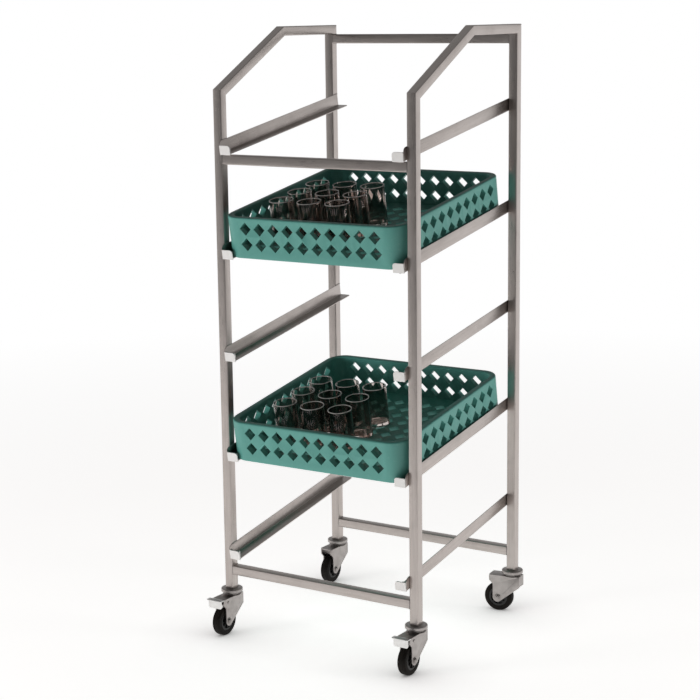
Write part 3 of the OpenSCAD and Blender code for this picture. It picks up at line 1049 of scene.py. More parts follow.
@dataclass
class TubeFrame:
    """Welded frame of square tube: two mitred sides and four crossbars.

    Attributes:
        bench: Workbench.
        wall: Wall of the tube.
        corner: Rounding of the tube's long edges.
        bead: Radius of a weld bead.
    """

    bench: Bench
    wall: float = 0.0015
    corner: float = 0.0026
    bead: float = 0.0011

    def outline(self) -> list[tuple[Vector, Vector]]:
        """Corners of the right side frame, from the front foot over the top to the rear foot.

        Returns:
            The outer and the inner point of each corner, on the frame's middle plane.
        """
        front_low, front_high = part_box("front_right_post")
        slant_low, slant_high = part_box("right_slant_tube")
        top_low, top_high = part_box("right_top_tube")
        rear_low, rear_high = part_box("rear_right_post")
        x = (front_low.x + front_high.x) / 2
        corners = (
            (front_low.y, front_low.z, front_high.y, front_low.z),
            (front_low.y, front_high.z, front_high.y, slant_low.z),
            (top_low.y, top_high.z, slant_high.y, top_low.z),
            (rear_high.y, rear_high.z, rear_low.y, top_low.z),
            (rear_high.y, rear_low.z, rear_low.y, rear_low.z),
        )
        return [(Vector((x, y, z)), Vector((x, inner_y, inner_z))) for y, z, inner_y, inner_z in corners]

    def tube(self, name: str, start: Vector, end: Vector, side: float) -> Object:
        """Makes a straight length of hollow tube with rounded long edges.

        Args:
            name: Name of the piece.
            start: Middle of its first end.
            end: Middle of its second end.
            side: Side of the square.

        Returns:
            The tube.
        """
        reach = end - start
        along = reach.normalized()
        turn = along.to_track_quat("Z", "X").to_euler()
        piece = self.bench.block(name, (start + end) / 2, Vector((side, side, reach.length)), turn)
        with self.bench.edit(piece):
            self.bench.pick(piece, Kind.EDGE, lambda spot, run: abs(run.dot(along)) > PARALLEL)
            self.bench.round_off(self.corner)
            self.bench.bore(piece, along, self.wall)
        return piece

    def mitre(self, piece: Object, corner: tuple[Vector, Vector], keep: Vector) -> None:
        """Saws a tube off along a corner and closes the cut.

        Args:
            piece: Tube to cut.
            corner: Outer and inner point of the corner.
            keep: A point of the tube that stays.
        """
        outer, inner = corner
        normal = (inner - outer).cross(X_AXIS).normalized()
        if normal.dot(keep - outer) > 0:
            normal.negate()
        with self.bench.edit(piece):
            bpy.ops.mesh.select_all(action="SELECT")
            bpy.ops.mesh.bisect(plane_co=outer, plane_no=normal, clear_outer=True)
            bpy.ops.mesh.select_mode(type="EDGE")
            bpy.ops.mesh.select_all(action="DESELECT")
            bpy.ops.mesh.select_non_manifold()
            self.bench.close_tunnel()

    def side_tube(self, name: str, first: tuple[Vector, Vector], second: tuple[Vector, Vector]) -> Object:
        """Makes one mitred tube of the right side frame.

        Args:
            name: Name of the piece.
            first: Outer and inner point of its first corner.
            second: Outer and inner point of its second corner.

        Returns:
            The tube.
        """
        run = second[0] - first[0]
        along = run.normalized()
        depth = first[1] - first[0]
        inward = depth - along * depth.dot(along)
        side = inward.length
        spare = along * side
        start, end = first[0] + inward / 2, second[0] + inward / 2
        piece = self.tube(name, start - spare, end + spare, side)
        middle = (start + end) / 2
        self.mitre(piece, first, middle)
        self.mitre(piece, second, middle)
        return piece

    def sides(self) -> None:
        """Makes both side frames, the left one as a mirrored copy."""
        words = ("front_{}_post", "{}_slant_tube", "{}_top_tube", "rear_{}_post")
        for word, (first, second) in zip(words, pairwise(self.outline())):
            right, left = word.format(Side.RIGHT.word), word.format(Side.LEFT.word)
            grain = (second[0] - first[0]).normalized()
            finish = SatinSteel("satin steel " + word.replace("{}_", "").replace("_", " "), tuple(grain))
            fitting = Fitting("frame", "frame_steel", finish)
            piece = self.side_tube(f"{right}_shell", first, second)
            self.bench.smooth(piece)
            twin = self.bench.put(piece, f"{left}_shell", Side.LEFT.mirror)
            fitting.fit(piece, right)
            fitting.fit(twin, left)

    def crossbars(self) -> None:
        """Makes the four crossbars and the weld bead at each of their ends."""
        steel = SatinSteel("satin steel across", tuple(X_AXIS))
        for height in ("upper", "lower"):
            for end in ("front", "rear"):
                node = f"{height}_{end}_crossbar"
                low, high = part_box(node)
                middle = (low + high) / 2
                half = X_AXIS * (high.x - low.x) / 2
                side = high.z - low.z
                bar = self.tube(f"{node}_shell", middle - half, middle + half, side)
                self.bench.smooth(bar)
                Fitting("frame", "frame_steel", steel).fit(bar, node)
                for side_end in Side:
                    self.weld(f"{node}_{side_end.word}_weld", middle + half * side_end.value, side)

    def weld(self, name: str, middle: Vector, side: float) -> None:
        """Runs a weld bead round the end of a crossbar.

        Args:
            name: Name of the piece.
            middle: Middle of the joint.
            side: Side of the tube.
        """
        bead = self.bench.sheet(name, middle, Vector((side, side, 1)), (0, QUARTER, 0))
        with self.bench.edit(bead):
            bpy.ops.mesh.select_all(action="SELECT")
            self.bench.round_off(self.corner, kind=Kind.VERT)
            bpy.ops.mesh.select_all(action="SELECT")
            bpy.ops.mesh.delete(type="ONLY_FACE")
        self.bench.take(bead)
        bpy.ops.object.convert(target="CURVE")
        bead = bpy.context.active_object
        bead.data.bevel_depth = self.bead
        bead.data.bevel_resolution = FEW_STEPS
        bpy.ops.object.convert(target="MESH")
        bead = bpy.context.active_object
        self.bench.smooth(bead, ROUND_ANGLE)
        Fitting("frame", "frame_steel", WELD_STEEL).fit(bead)

    def build(self) -> None:
        """Makes the whole frame."""
        self.sides()
        self.crossbars()


@dataclass
class RunnerSet:
    """Angle runners that slope down to the front, each capped by a plastic stop.

    Attributes:
        bench: Workbench.
        levels: Number of levels.
        leg: Width of each leg of the angle.
        sheet: Thickness of the angle.
        nose: Length of a runner ahead of the front posts.
        nose_round: Rounding of the upright leg's front corner.
        bend: Rounding of the bend.
        end_round: Rounding of the flat leg's rear corner.
        edge: Rounding of the sheet's edges.
        stop_size: Width, depth and height of a stop.
        stop_plate: Thickness of a stop's front plate.
        stop_block: Width and height of the block behind the plate.
        stop_skin: Thickness of a stop below and ahead of the runner.
        stop_gap: Room between a stop and the upright leg.
        stop_round: Rounding of a stop's inner top corner.
        stop_edge: Rounding of a stop's other edges.
        slot_room: Room around the runner in a stop's slot.
        screw_ahead: Distance of a screw's middle ahead of the posts.
        screw_head: Radius of a screw's head.
        screw_rise: Height of a screw's head.
        cross: Length and width of the cross in a screw's head.
        nylon: Finish of the stops.
        bead_round: Radius of a weld bead.
        bead_share: Length of a bead as a share of a post's side.
        bead_ripples: Number of ripples along a bead.
        ripple_share: Depth of a ripple as a share of the bead's radius.
    """

    bench: Bench
    levels: int = 5
    leg: float = 0.033
    sheet: float = 0.002
    nose: float = 0.009
    nose_round: float = 0.012
    bend: float = 0.003
    end_round: float = 0.005
    edge: float = 0.0003
    stop_size: Vector = field(default_factory=lambda: Vector((0.0315, 0.0195, 0.0245)))
    stop_plate: float = 0.003
    stop_block: tuple[float, float] = (0.012, 0.0165)
    stop_skin: float = 0.002
    stop_gap: float = 0.0005
    stop_round: float = 0.008
    stop_edge: float = 0.0007
    slot_room: float = 0.0001
    screw_ahead: float = 0.00502
    screw_head: float = 0.004
    screw_rise: float = 0.0022
    cross: tuple[float, float] = (0.0048, 0.001)
    nylon: MouldedPlastic = MouldedPlastic(
        "white nylon",
        colour=(0.80, 0.78, 0.76, 1.0),
        cloud=(0.76, 0.74, 0.72, 1.0),
        scuff=(0.66, 0.64, 0.61, 1.0),
    )
    bead_round: float = 0.0014
    bead_share: float = 0.8
    bead_ripples: int = 14
    ripple_share: float = 0.22

    def place(self, level: int) -> Matrix:
        """Matrix of a level, with x across, y along the runner and z square to it.

        Args:
            level: Number of the level, from the lowest.

        Returns:
            The matrix, whose origin is at the front of the posts.
        """
        axis = slope_axis()
        low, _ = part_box(f"right_runner_{level}")
        front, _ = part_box("front_right_post")
        origin = Vector((0, front.y, low.z + self.nose * axis.z))
        return Matrix.Translation(origin) @ slope_turn()

    def inner_x(self) -> float:
        """Distance from the middle to the posts' inner faces."""
        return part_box("front_right_post")[0].x

    def runner(self) -> Object:
        """Makes the right runner in its level's own axes.

        Returns:
            The runner.
        """
        front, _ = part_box("front_right_post")
        _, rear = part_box("rear_right_post")
        x = self.inner_x()
        end = (rear.y - front.y) / slope_axis().y
        middle = Vector((x, (end - self.nose) / 2, self.leg / 2))
        piece = self.bench.sheet("runner", middle, Vector((self.leg, end + self.nose, 1)), (0, QUARTER, 0))
        with self.bench.edit(piece):
            self.bench.pick(piece, Kind.EDGE, lambda spot, run: spot.z < NEAR and abs(run.y) > PARALLEL)
            self.bench.draw_out(Vector((-self.leg, 0, 0)))
            self.bench.pick(
                piece,
                Kind.EDGE,
                lambda spot, run: spot.z < NEAR and spot.x > x - NEAR and abs(run.y) > PARALLEL,
            )
            self.bench.round_off(self.bend)
            front_top, rear_in = Vector((x, -self.nose, self.leg)), Vector((x - self.leg, end, 0))
            self.bench.pick(piece, Kind.VERT, lambda spot, normal: (spot - front_top).length < NEAR)
            self.bench.round_off(self.nose_round, MANY_STEPS, Kind.VERT)
            self.bench.pick(piece, Kind.VERT, lambda spot, normal: (spot - rear_in).length < NEAR)
            self.bench.round_off(self.end_round, kind=Kind.VERT)
            self.face_out(piece, x)
        self.bench.apply(piece, "SOLIDIFY", thickness=self.sheet, offset=-1, use_even_offset=True)
        self.bench.soften(piece, self.edge)
        return piece

    def face_out(self, piece: Object, x: float) -> None:
        """Turns a sheet in edit mode so that its upright leg faces away from the middle.

        Args:
            piece: Sheet in edit mode.
            x: X of its upright leg.
        """
        bpy.ops.mesh.select_all(action="SELECT")
        bpy.ops.mesh.normals_make_consistent(inside=False)
        mesh = bmesh.from_edit_mesh(piece.data)
        upright = next(face for face in mesh.faces if face.calc_center_median().x > x - NEAR)
        if upright.normal.x < 0:
            bpy.ops.mesh.flip_normals()

    def stop(self) -> Object:
        """Makes the right stop in its level's own axes, slotted for the runner's flat leg.

        Returns:
            The stop, a plate with a block behind it.
        """
        width, depth, height = self.stop_size
        plate, skin = self.stop_plate, self.stop_skin
        out_x = self.inner_x() - self.sheet - self.stop_gap
        front = -self.nose - skin
        middle = Vector((out_x - width / 2, front + plate / 2, height / 2 - skin))
        piece = self.bench.block("stop", middle, Vector((width, plate, height)))
        top, inner = height - skin, out_x - width
        with self.bench.edit(piece):
            self.bench.pick(
                piece,
                Kind.EDGE,
                lambda spot, run: spot.z > top - NEAR and spot.x < inner + NEAR and abs(run.y) > PARALLEL,
            )
            self.bench.round_off(self.stop_round, MANY_STEPS)
        block_width, block_height = self.stop_block
        block_middle = Vector((self.inner_x() - self.leg / 2, front + depth / 2, block_height / 2 - skin))
        block = self.bench.block("block", block_middle, Vector((block_width, depth, block_height)))
        self.bench.carve(piece, block, add=True)
        slot_size = Vector((self.leg + self.stop_gap, depth, self.sheet + self.slot_room))
        slot_x = self.inner_x() - self.leg - self.slot_room + slot_size.x / 2
        slot_y = depth / 2 - self.nose - self.slot_room
        slot = self.bench.block("slot", Vector((slot_x, slot_y, self.sheet / 2)), slot_size)
        self.bench.carve(piece, slot)
        self.bench.soften(piece, self.stop_edge)
        return piece

    def screw(self) -> Object:
        """Makes the screw under the right stop in its level's own axes, with a cross in its domed head.

        Returns:
            The screw.
        """
        z = -self.stop_skin - self.screw_rise / 2
        middle = Vector((self.inner_x() - self.leg / 2, -self.screw_ahead, z))
        piece = self.bench.rod("screw", middle, self.screw_head, self.screw_rise, sides=PIN_SIDES)
        with self.bench.edit(piece):
            self.bench.round_ends(piece, -Z_AXIS, self.screw_rise * DOME)
        arm_size = Vector((*self.cross, self.screw_rise))
        for turn in (0, QUARTER):
            arm = self.bench.block("arm", middle - Z_AXIS * self.screw_rise / 2, arm_size, (0, 0, turn))
            self.bench.carve(piece, arm)
        self.bench.smooth(piece)
        return piece

    def bead(self) -> Object:
        """Makes the weld bead along a right runner's top edge, about the middle of a post.

        Returns:
            The bead, in its level's own axes.
        """
        front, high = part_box("front_right_post")
        width = (high.y - front.y) * self.bead_share
        middle = Vector((self.inner_x(), 0, self.leg))
        piece = self.bench.rod("bead", middle, self.bead_round, width, (QUARTER, 0, 0), BEAD_SIDES)
        with self.bench.edit(piece):
            self.bench.round_ends(piece, Y_AXIS, self.bead_round * DOME, both=True)
            start = Y_AXIS * -width / 2
            for step in range(1, self.bead_ripples):
                self.bench.split(start + Y_AXIS * width * step / self.bead_ripples, Y_AXIS)
            self.bench.pick(
                piece,
                Kind.VERT,
                lambda spot, normal: round((spot - start).y / width * self.bead_ripples) % 2 == 0
                and abs(spot.y) < width / 2 - self.bead_round,
            )
            bpy.ops.transform.shrink_fatten(value=-self.bead_round * self.ripple_share)
        self.bench.smooth(piece, ROUND_ANGLE)
        return piece

    def welds(self) -> None:
        """Puts a bead where each runner's top edge meets a post."""
        metal = Fitting("frame", "runner_steel", WELD_STEEL)
        pattern = self.bead()
        axis = slope_axis()
        front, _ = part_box("front_right_post")
        for level in range(1, self.levels + 1):
            for side in Side:
                for end in ("front", "rear"):
                    low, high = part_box(f"{end}_{side.word}_post")
                    along = ((low.y + high.y) / 2 - front.y + self.leg * axis.z) / axis.y
                    place = self.place(level) @ Matrix.Translation((0, along, 0)) @ side.mirror
                    metal.fit(self.bench.put(pattern, f"{end}_{side.word}_weld_{level}", place))
        self.bench.drop(pattern)

    def build(self) -> None:
        """Makes every runner, stop and screw as copies of the right ones, and the welds."""
        axis = slope_axis()
        steel = Fitting("frame", "runner_steel", SatinSteel("satin steel runner", tuple(axis)))
        plastic = Fitting("frame", "stop_plastic", self.nylon)
        bolt = Fitting("frame", "screw_steel", BOLT_STEEL)
        patterns = (
            (self.runner(), steel, "{}_runner_{}", "{}_runner_{}_angle"),
            (self.stop(), plastic, "runner_stops", "{}_stop_{}"),
            (self.screw(), bolt, "stop_screws", "{}_stop_screw_{}"),
        )
        for pattern, fitting, node, name in patterns:
            for level in range(1, self.levels + 1):
                for side in Side:
                    place = self.place(level) @ side.mirror
                    piece = self.bench.put(pattern, name.format(side.word, level), place)
                    fitting.fit(piece, node.format(side.word, level))
            self.bench.drop(pattern)
        self.welds()


@dataclass
class Caster:
    """Swivel caster with a pressed fork, and a brake pedal at the front corners.

    Attributes:
        bench: Workbench.
        corner: Corner that it stands under.
        head_round: Rounding of the swivel head's top.
        head_rim: Wall of the swivel head.
        head_skin: Thickness of its top.
        ring_wall: Wall of the bearing ring.
        groove: Depth of the groove between the bearing ring's halves.
        stem: Radius of the swivel stem.
        tyre_depth: Depth of the tyre on its hub.
        tyre_round: Rounding of the tyre's shoulders.
        tyre_sides: Number of the round tyre's sides.
        tread: Distance of the tread grooves from the tyre's middle.
        tread_cut: Width and depth of a tread groove.
        rim: Height of the hub's rim.
        rim_width: Width of the hub's rim.
        web: Thickness of the hub's web.
        boss: Radius of the hub's boss.
        boss_width: Width of the hub's boss.
        ribs: Number of ribs on each side of the web.
        rib_pitch: Sides of the round hub from one rib to the next.
        rib_width: Sides that a rib takes up.
        rib_rise: Height of a rib.
        edge: Rounding of the hub's and the pedal's edges.
        axle: Radius of the axle bolt.
        bore_room: Room round the bolt in its nut and washers.
        fork_half: Half the width over the fork's cheeks.
        fork_edge: Rounding of the fork's edges.
        hexagon: Radius of the bolt's head and nut to their corners.
        hexagon_rise: Height of the bolt's head and nut.
        thread_end: Length of the bolt past its nut.
        washer: Radius of a washer.
        washer_rise: Thickness of a washer.
        washer_edge: Rounding of a washer's edges.
        pin: Radius of the pedal's pin.
        pin_flare: Height of the pin's heads, and how far they stand out round it.
        grips: Number of grip ribs on a pedal's tread.
        grip: Distance between them.
        grip_rise: Radius of a grip rib.
        grip_share: Length of a grip rib as a share of the tread's width.
        race_steel: Finish of the bearing ring.
        hub_plastic: Finish of the hub.
        pedal_steel: Finish of the pedal.
    """

    bench: Bench
    corner: Corner
    head_round: float = 0.003
    head_rim: float = 0.004
    head_skin: float = 0.004
    ring_wall: float = 0.006
    groove: float = 0.0012
    stem: float = 0.006
    tyre_depth: float = 0.013
    tyre_round: float = 0.006
    tyre_sides: int = 96
    tread: float = 0.0042
    tread_cut: float = 0.0008
    rim: float = 0.006
    rim_width: float = 0.022
    web: float = 0.010
    boss: float = 0.010
    boss_width: float = 0.0294
    ribs: int = 8
    rib_pitch: int = 12
    rib_width: int = 2
    rib_rise: float = 0.0048
    edge: float = 0.0006
    axle: float = 0.004
    bore_room: float = 0.0001
    fork_half: float = 0.018
    fork_edge: float = 0.0009
    hexagon: float = 0.0074
    hexagon_rise: float = 0.005
    thread_end: float = 0.001
    washer: float = 0.0088
    washer_rise: float = 0.001
    washer_edge: float = 0.0003
    pin: float = 0.0025
    pin_flare: float = 0.0015
    grips: int = 3
    grip: float = 0.0042
    grip_rise: float = 0.0007
    grip_share: float = 0.72
    race_steel: PlatedSteel = PlatedSteel("bearing steel", roughness=0.42)
    hub_plastic: MouldedPlastic = MouldedPlastic(
        "hub plastic",
        colour=(0.009, 0.0085, 0.008, 1.0),
        cloud=(0.012, 0.0115, 0.011, 1.0),
        scuff=(0.035, 0.033, 0.031, 1.0),
    )
    pedal_steel: PlatedSteel = PlatedSteel(
        "pedal steel", bright=(0.82, 0.81, 0.80, 1.0), dull=(0.70, 0.685, 0.67, 1.0), roughness=0.3
    )

    def node(self, word: str) -> str:
        """Name of one of the caster's CAD nodes, bodies, joints or pieces."""
        return f"{self.corner.value}_{word}"

    def joint(self, word: str) -> Vector:
        """Place of one of the caster's joints."""
        return Vector(next(j["pos_m"] for j in frame["joints"] if j["name"] == self.node(word)))

    def axle_line(self) -> tuple[Vector, Vector]:
        """Middle of the axle and the direction along it.

        Returns:
            The middle, and the unit direction from the nut to the bolt's head.
        """
        swivel, roll = self.joint("swivel"), self.joint("roll")
        trail = Vector((roll.x - swivel.x, roll.y - swivel.y, 0)).normalized()
        return roll, trail.cross(Z_AXIS)

    def from_axle(self, spot: Vector) -> float:
        """Distance of a spot from the axle."""
        middle, along = self.axle_line()
        return (spot - middle).cross(along).length

    def head(self) -> None:
        """Makes the round swivel head, hollow below and bored for the stem."""
        low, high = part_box(self.node("swivel_head"))
        middle = (low + high) / 2
        radius = (high.x - low.x) / 2
        rise = high.z - low.z
        piece = self.bench.rod(self.node("swivel_cap"), middle, radius, rise)
        with self.bench.edit(piece):
            self.bench.round_ends(piece, Z_AXIS, self.head_round)
            self.bench.pick_ends(piece, -Z_AXIS)
            bpy.ops.mesh.inset(thickness=self.head_rim)
            self.bench.draw_out(Vector((0, 0, rise - self.head_skin)))
            bpy.ops.mesh.inset(thickness=radius - self.head_rim - self.stem)
            self.bench.pick(piece, Kind.FACE, lambda spot, normal: spot.z > high.z - NEAR)
            bpy.ops.mesh.inset(thickness=radius - self.head_round - self.stem)
            self.bench.pick(
                piece,
                Kind.FACE,
                lambda spot, normal: abs(normal.z) > PARALLEL and (spot - middle).xy.length < self.stem / 2,
            )
            self.bench.close_tunnel()
        self.bench.smooth(piece)
        Fitting("frame", "caster_steel", PRESSED_STEEL).fit(piece, self.node("swivel_head"))

    def ring(self) -> None:
        """Makes the bearing ring with the groove between its halves."""
        head_low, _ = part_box(self.node("swivel_head"))
        ring_low, ring_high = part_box("bearing_rings")
        _, fork_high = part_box(self.node("fork"))
        swivel = self.joint("swivel")
        radius = ring_high.x - abs(swivel.x)
        rise = ring_high.z - ring_low.z
        middle = Vector((swivel.x, swivel.y, (ring_high.z + ring_low.z) / 2))
        piece = self.bench.rod(self.node("bearing_race"), middle, radius, rise)
        seam = (fork_high.z + head_low.z) / 2
        with self.bench.edit(piece):
            self.bench.bore(piece, Z_AXIS, self.ring_wall)
            for shift in (-self.groove / 2, self.groove / 2):
                self.bench.split(Z_AXIS * (seam + shift), Z_AXIS)
            self.bench.pick(
                piece,
                Kind.FACE,
                lambda spot, normal: abs(spot.z - seam) < self.groove / 2
                and (spot - middle).xy.length > radius - self.groove,
            )
            self.bench.sink(self.groove)
        self.bench.smooth(piece)
        Fitting("frame", "ring_steel", self.race_steel).fit(piece, "bearing_rings")

    def fork(self) -> None:
        """Rounds the pressed fork's edges."""
        piece = self.bench.from_node(self.node("fork"), self.node("fork_pressing"))
        self.bench.soften(piece, self.fork_edge)
        Fitting(self.node("caster"), "caster_steel", PRESSED_STEEL).fit(piece, self.node("fork"))

    def tyre(self) -> None:
        """Makes the tyre, as wide as one that stands square, with round shoulders and two tread grooves."""
        middle, along = self.axle_line()
        radius = middle.z
        low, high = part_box(f"{Corner.FRONT_LEFT.value}_tyre")
        width, turn = high.x - low.x, facing(along)
        piece = self.bench.rod(self.node("tyre_tread"), middle, radius, width, turn, self.tyre_sides)

        def across(spot: Vector) -> float:
            """Distance of a spot from the tyre's middle plane."""
            return abs((spot - middle).dot(along))

        with self.bench.edit(piece):
            self.bench.bore(piece, along, self.tyre_depth)
            self.bench.pick(
                piece,
                Kind.EDGE,
                lambda spot, run: across(spot) > width / 2 - NEAR
                and self.from_axle(spot) > radius - self.tyre_round
                and abs(run.dot(spot - middle)) < NEAR,
            )
            self.bench.round_off(self.tyre_round, MANY_STEPS)
            for way in (along, -along):
                for edge in (self.tread, self.tread + self.tread_cut):
                    self.bench.split(middle + way * edge, along)
            self.bench.pick(
                piece,
                Kind.FACE,
                lambda spot, normal: self.tread < across(spot) < self.tread + self.tread_cut
                and self.from_axle(spot) > radius - self.tyre_round,
            )
            self.bench.sink(self.tread_cut)
        self.bench.smooth(piece)
        rubber = DustyRubber("dusty rubber")
        Fitting(self.node("wheel"), "tyre_rubber", rubber).fit(piece, self.node("tyre"))

    def hub(self) -> None:
        """Makes the hub: a rim under the tyre, a ribbed web and a bored boss."""
        middle, along = self.axle_line()
        level = along.cross(Z_AXIS)
        radius = middle.z - self.tyre_depth
        sides = self.rib_pitch * self.ribs
        name = self.node("hub_moulding")
        piece = self.bench.rod(name, middle, radius, self.rim_width, facing(along), sides)

        def on_rib(spot: Vector) -> bool:
            """Whether a spot of the web lies on a rib."""
            angle = math.atan2(spot.z - middle.z, (spot - middle).dot(level)) + math.pi
            return int(angle / math.tau * sides) % self.rib_pitch < self.rib_width

        with self.bench.edit(piece):
            for way in (along, -along):
                self.bench.pick_ends(piece, way)
                bpy.ops.mesh.inset(thickness=self.rim)
                self.bench.draw_out(way * (self.web - self.rim_width) / 2)
                bpy.ops.mesh.inset(thickness=radius - self.rim - self.boss)
                self.bench.draw_out(way * (self.boss_width - self.web) / 2)
                bpy.ops.mesh.inset(thickness=self.boss - self.axle)
            self.bench.pick(
                piece,
                Kind.FACE,
                lambda spot, normal: abs(normal.dot(along)) > PARALLEL
                and self.from_axle(spot) < self.axle / 2,
            )
            self.bench.close_tunnel()
            for way in (along, -along):
                self.bench.pick(
                    piece,
                    Kind.FACE,
                    lambda spot, normal: normal.dot(way) > PARALLEL
                    and self.boss < self.from_axle(spot) < radius - self.rim
                    and on_rib(spot),
                )
                self.bench.draw_out(way * self.rib_rise)
            self.bench.pick(
                piece,
                Kind.EDGE,
                lambda spot, run: abs((spot - middle).dot(along)) > self.rim_width / 2 - NEAR
                and abs(run.dot(spot - middle)) < NEAR
                and abs(run.dot(along)) < NEAR
                and self.from_axle(spot) > (self.axle + self.boss) / 2,
            )
            self.bench.round_off(self.edge, FEW_STEPS)
        self.bench.smooth(piece)
        Fitting(self.node("wheel"), "hub_plastic", self.hub_plastic).fit(piece, self.node("wheel_hub"))

    def axle_set(self) -> None:
        """Makes the axle's hexagon bolt and its nut, each with a washer."""
        middle, along = self.axle_line()
        steel = Fitting(self.node("caster"), "screw_steel", BOLT_STEEL)
        turn = facing(along)
        flat = self.fork_half + self.washer_rise / 2
        height = self.hexagon_rise - self.washer_rise
        seat = self.fork_half + self.washer_rise + height / 2
        far = self.fork_half + self.hexagon_rise + self.thread_end
        length = far + self.fork_half + self.washer_rise
        shank_middle = middle + along * (length / 2 - far)
        shank = self.bench.rod(self.node("shank"), shank_middle, self.axle, length, turn, PIN_SIDES)
        with self.bench.edit(shank):
            self.bench.round_ends(shank, -along, self.thread_end / 2, FEW_STEPS)
        head = self.bench.hexagon(self.node("head"), middle + along * seat, along, self.hexagon, height)
        washer = self.disc(self.node("washer"), middle + along * flat, turn)
        bolt = self.bench.join(self.node("hexagon_bolt"), shank, head, washer)
        nut_middle = middle - along * seat
        nut = self.bench.hexagon(self.node("nut"), nut_middle, -along, self.hexagon, height)
        bore_radius = self.axle + self.bore_room
        bore = self.bench.rod(self.node("bore"), nut_middle, bore_radius, height * 2, turn, PIN_SIDES)
        self.bench.carve(nut, bore)
        washer = self.disc(self.node("washer"), middle - along * flat, turn)
        nut = self.bench.join(self.node("hexagon_nut"), nut, washer)
        for piece, node in ((bolt, "axle_bolt"), (nut, "axle_nut")):
            self.bench.smooth(piece)
            steel.fit(piece, self.node(node))

    def disc(self, name: str, middle: Vector, turn: Sequence[float]) -> Object:
        """Makes a washer bored for the axle.

        Args:
            name: Name of the piece.
            middle: Middle of the washer.
            turn: Its turn about X, Y and Z.

        Returns:
            The washer.
        """
        _, along = self.axle_line()
        piece = self.bench.rod(name, middle, self.washer, self.washer_rise, turn, PIN_SIDES)
        with self.bench.edit(piece):
            self.bench.round_ends(piece, along, self.washer_edge, FEW_STEPS, True)
            self.bench.bore(piece, along, self.washer - self.washer_edge - self.axle - self.bore_room)
        return piece

    def pedal(self) -> None:
        """Makes the brake pedal with grip ribs on its tread."""
        node = self.node("brake_pedal")
        piece = self.bench.from_node(node, self.node("pedal_pressing"))
        self.bench.soften(piece, self.edge)
        low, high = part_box(node)
        ribs = []
        for number in range(1, self.grips + 1):
            middle = Vector(((low.x + high.x) / 2, low.y + self.grip * number, high.z))
            length = (high.x - low.x) * self.grip_share
            turn = (0, QUARTER, 0)
            rib = self.bench.rod(self.node("grip"), middle, self.grip_rise, length, turn, BEAD_SIDES)
            with self.bench.edit(rib):
                self.bench.round_ends(rib, X_AXIS, self.grip_rise * DOME, both=True)
            self.bench.smooth(rib)
            ribs.append(rib)
        piece = self.bench.join(self.node("pedal_pressing"), piece, *ribs)
        Fitting(self.node("pedal"), "pedal_steel", self.pedal_steel).fit(piece, node)

    def rivet(self) -> None:
        """Makes the pin that the brake pedal turns on, with a domed head at each end."""
        _, along = self.axle_line()
        turn, flare = facing(along), self.pin_flare
        place = self.joint("brake")
        parts = [self.bench.rod(self.node("pin"), place, self.pin, self.fork_half * 2, turn, PIN_SIDES)]
        for way in (along, -along):
            middle = place + way * (self.fork_half + flare / 2)
            head = self.bench.rod(self.node("pin"), middle, self.pin + flare, flare, turn, PIN_SIDES)
            with self.bench.edit(head):
                self.bench.round_ends(head, way, flare * DOME)
            parts.append(head)
        piece = self.bench.join(self.node("pedal_rivet"), *parts)
        self.bench.smooth(piece)
        Fitting(self.node("caster"), "screw_steel", BOLT_STEEL).fit(piece, self.node("pedal_pin"))

    def build(self) -> None:
        """Makes the whole caster."""
        self.head()
        self.ring()
        self.fork()
        self.tyre()
        self.hub()
        self.axle_set()
        if self.corner.braked:
            self.pedal()
            self.rivet()


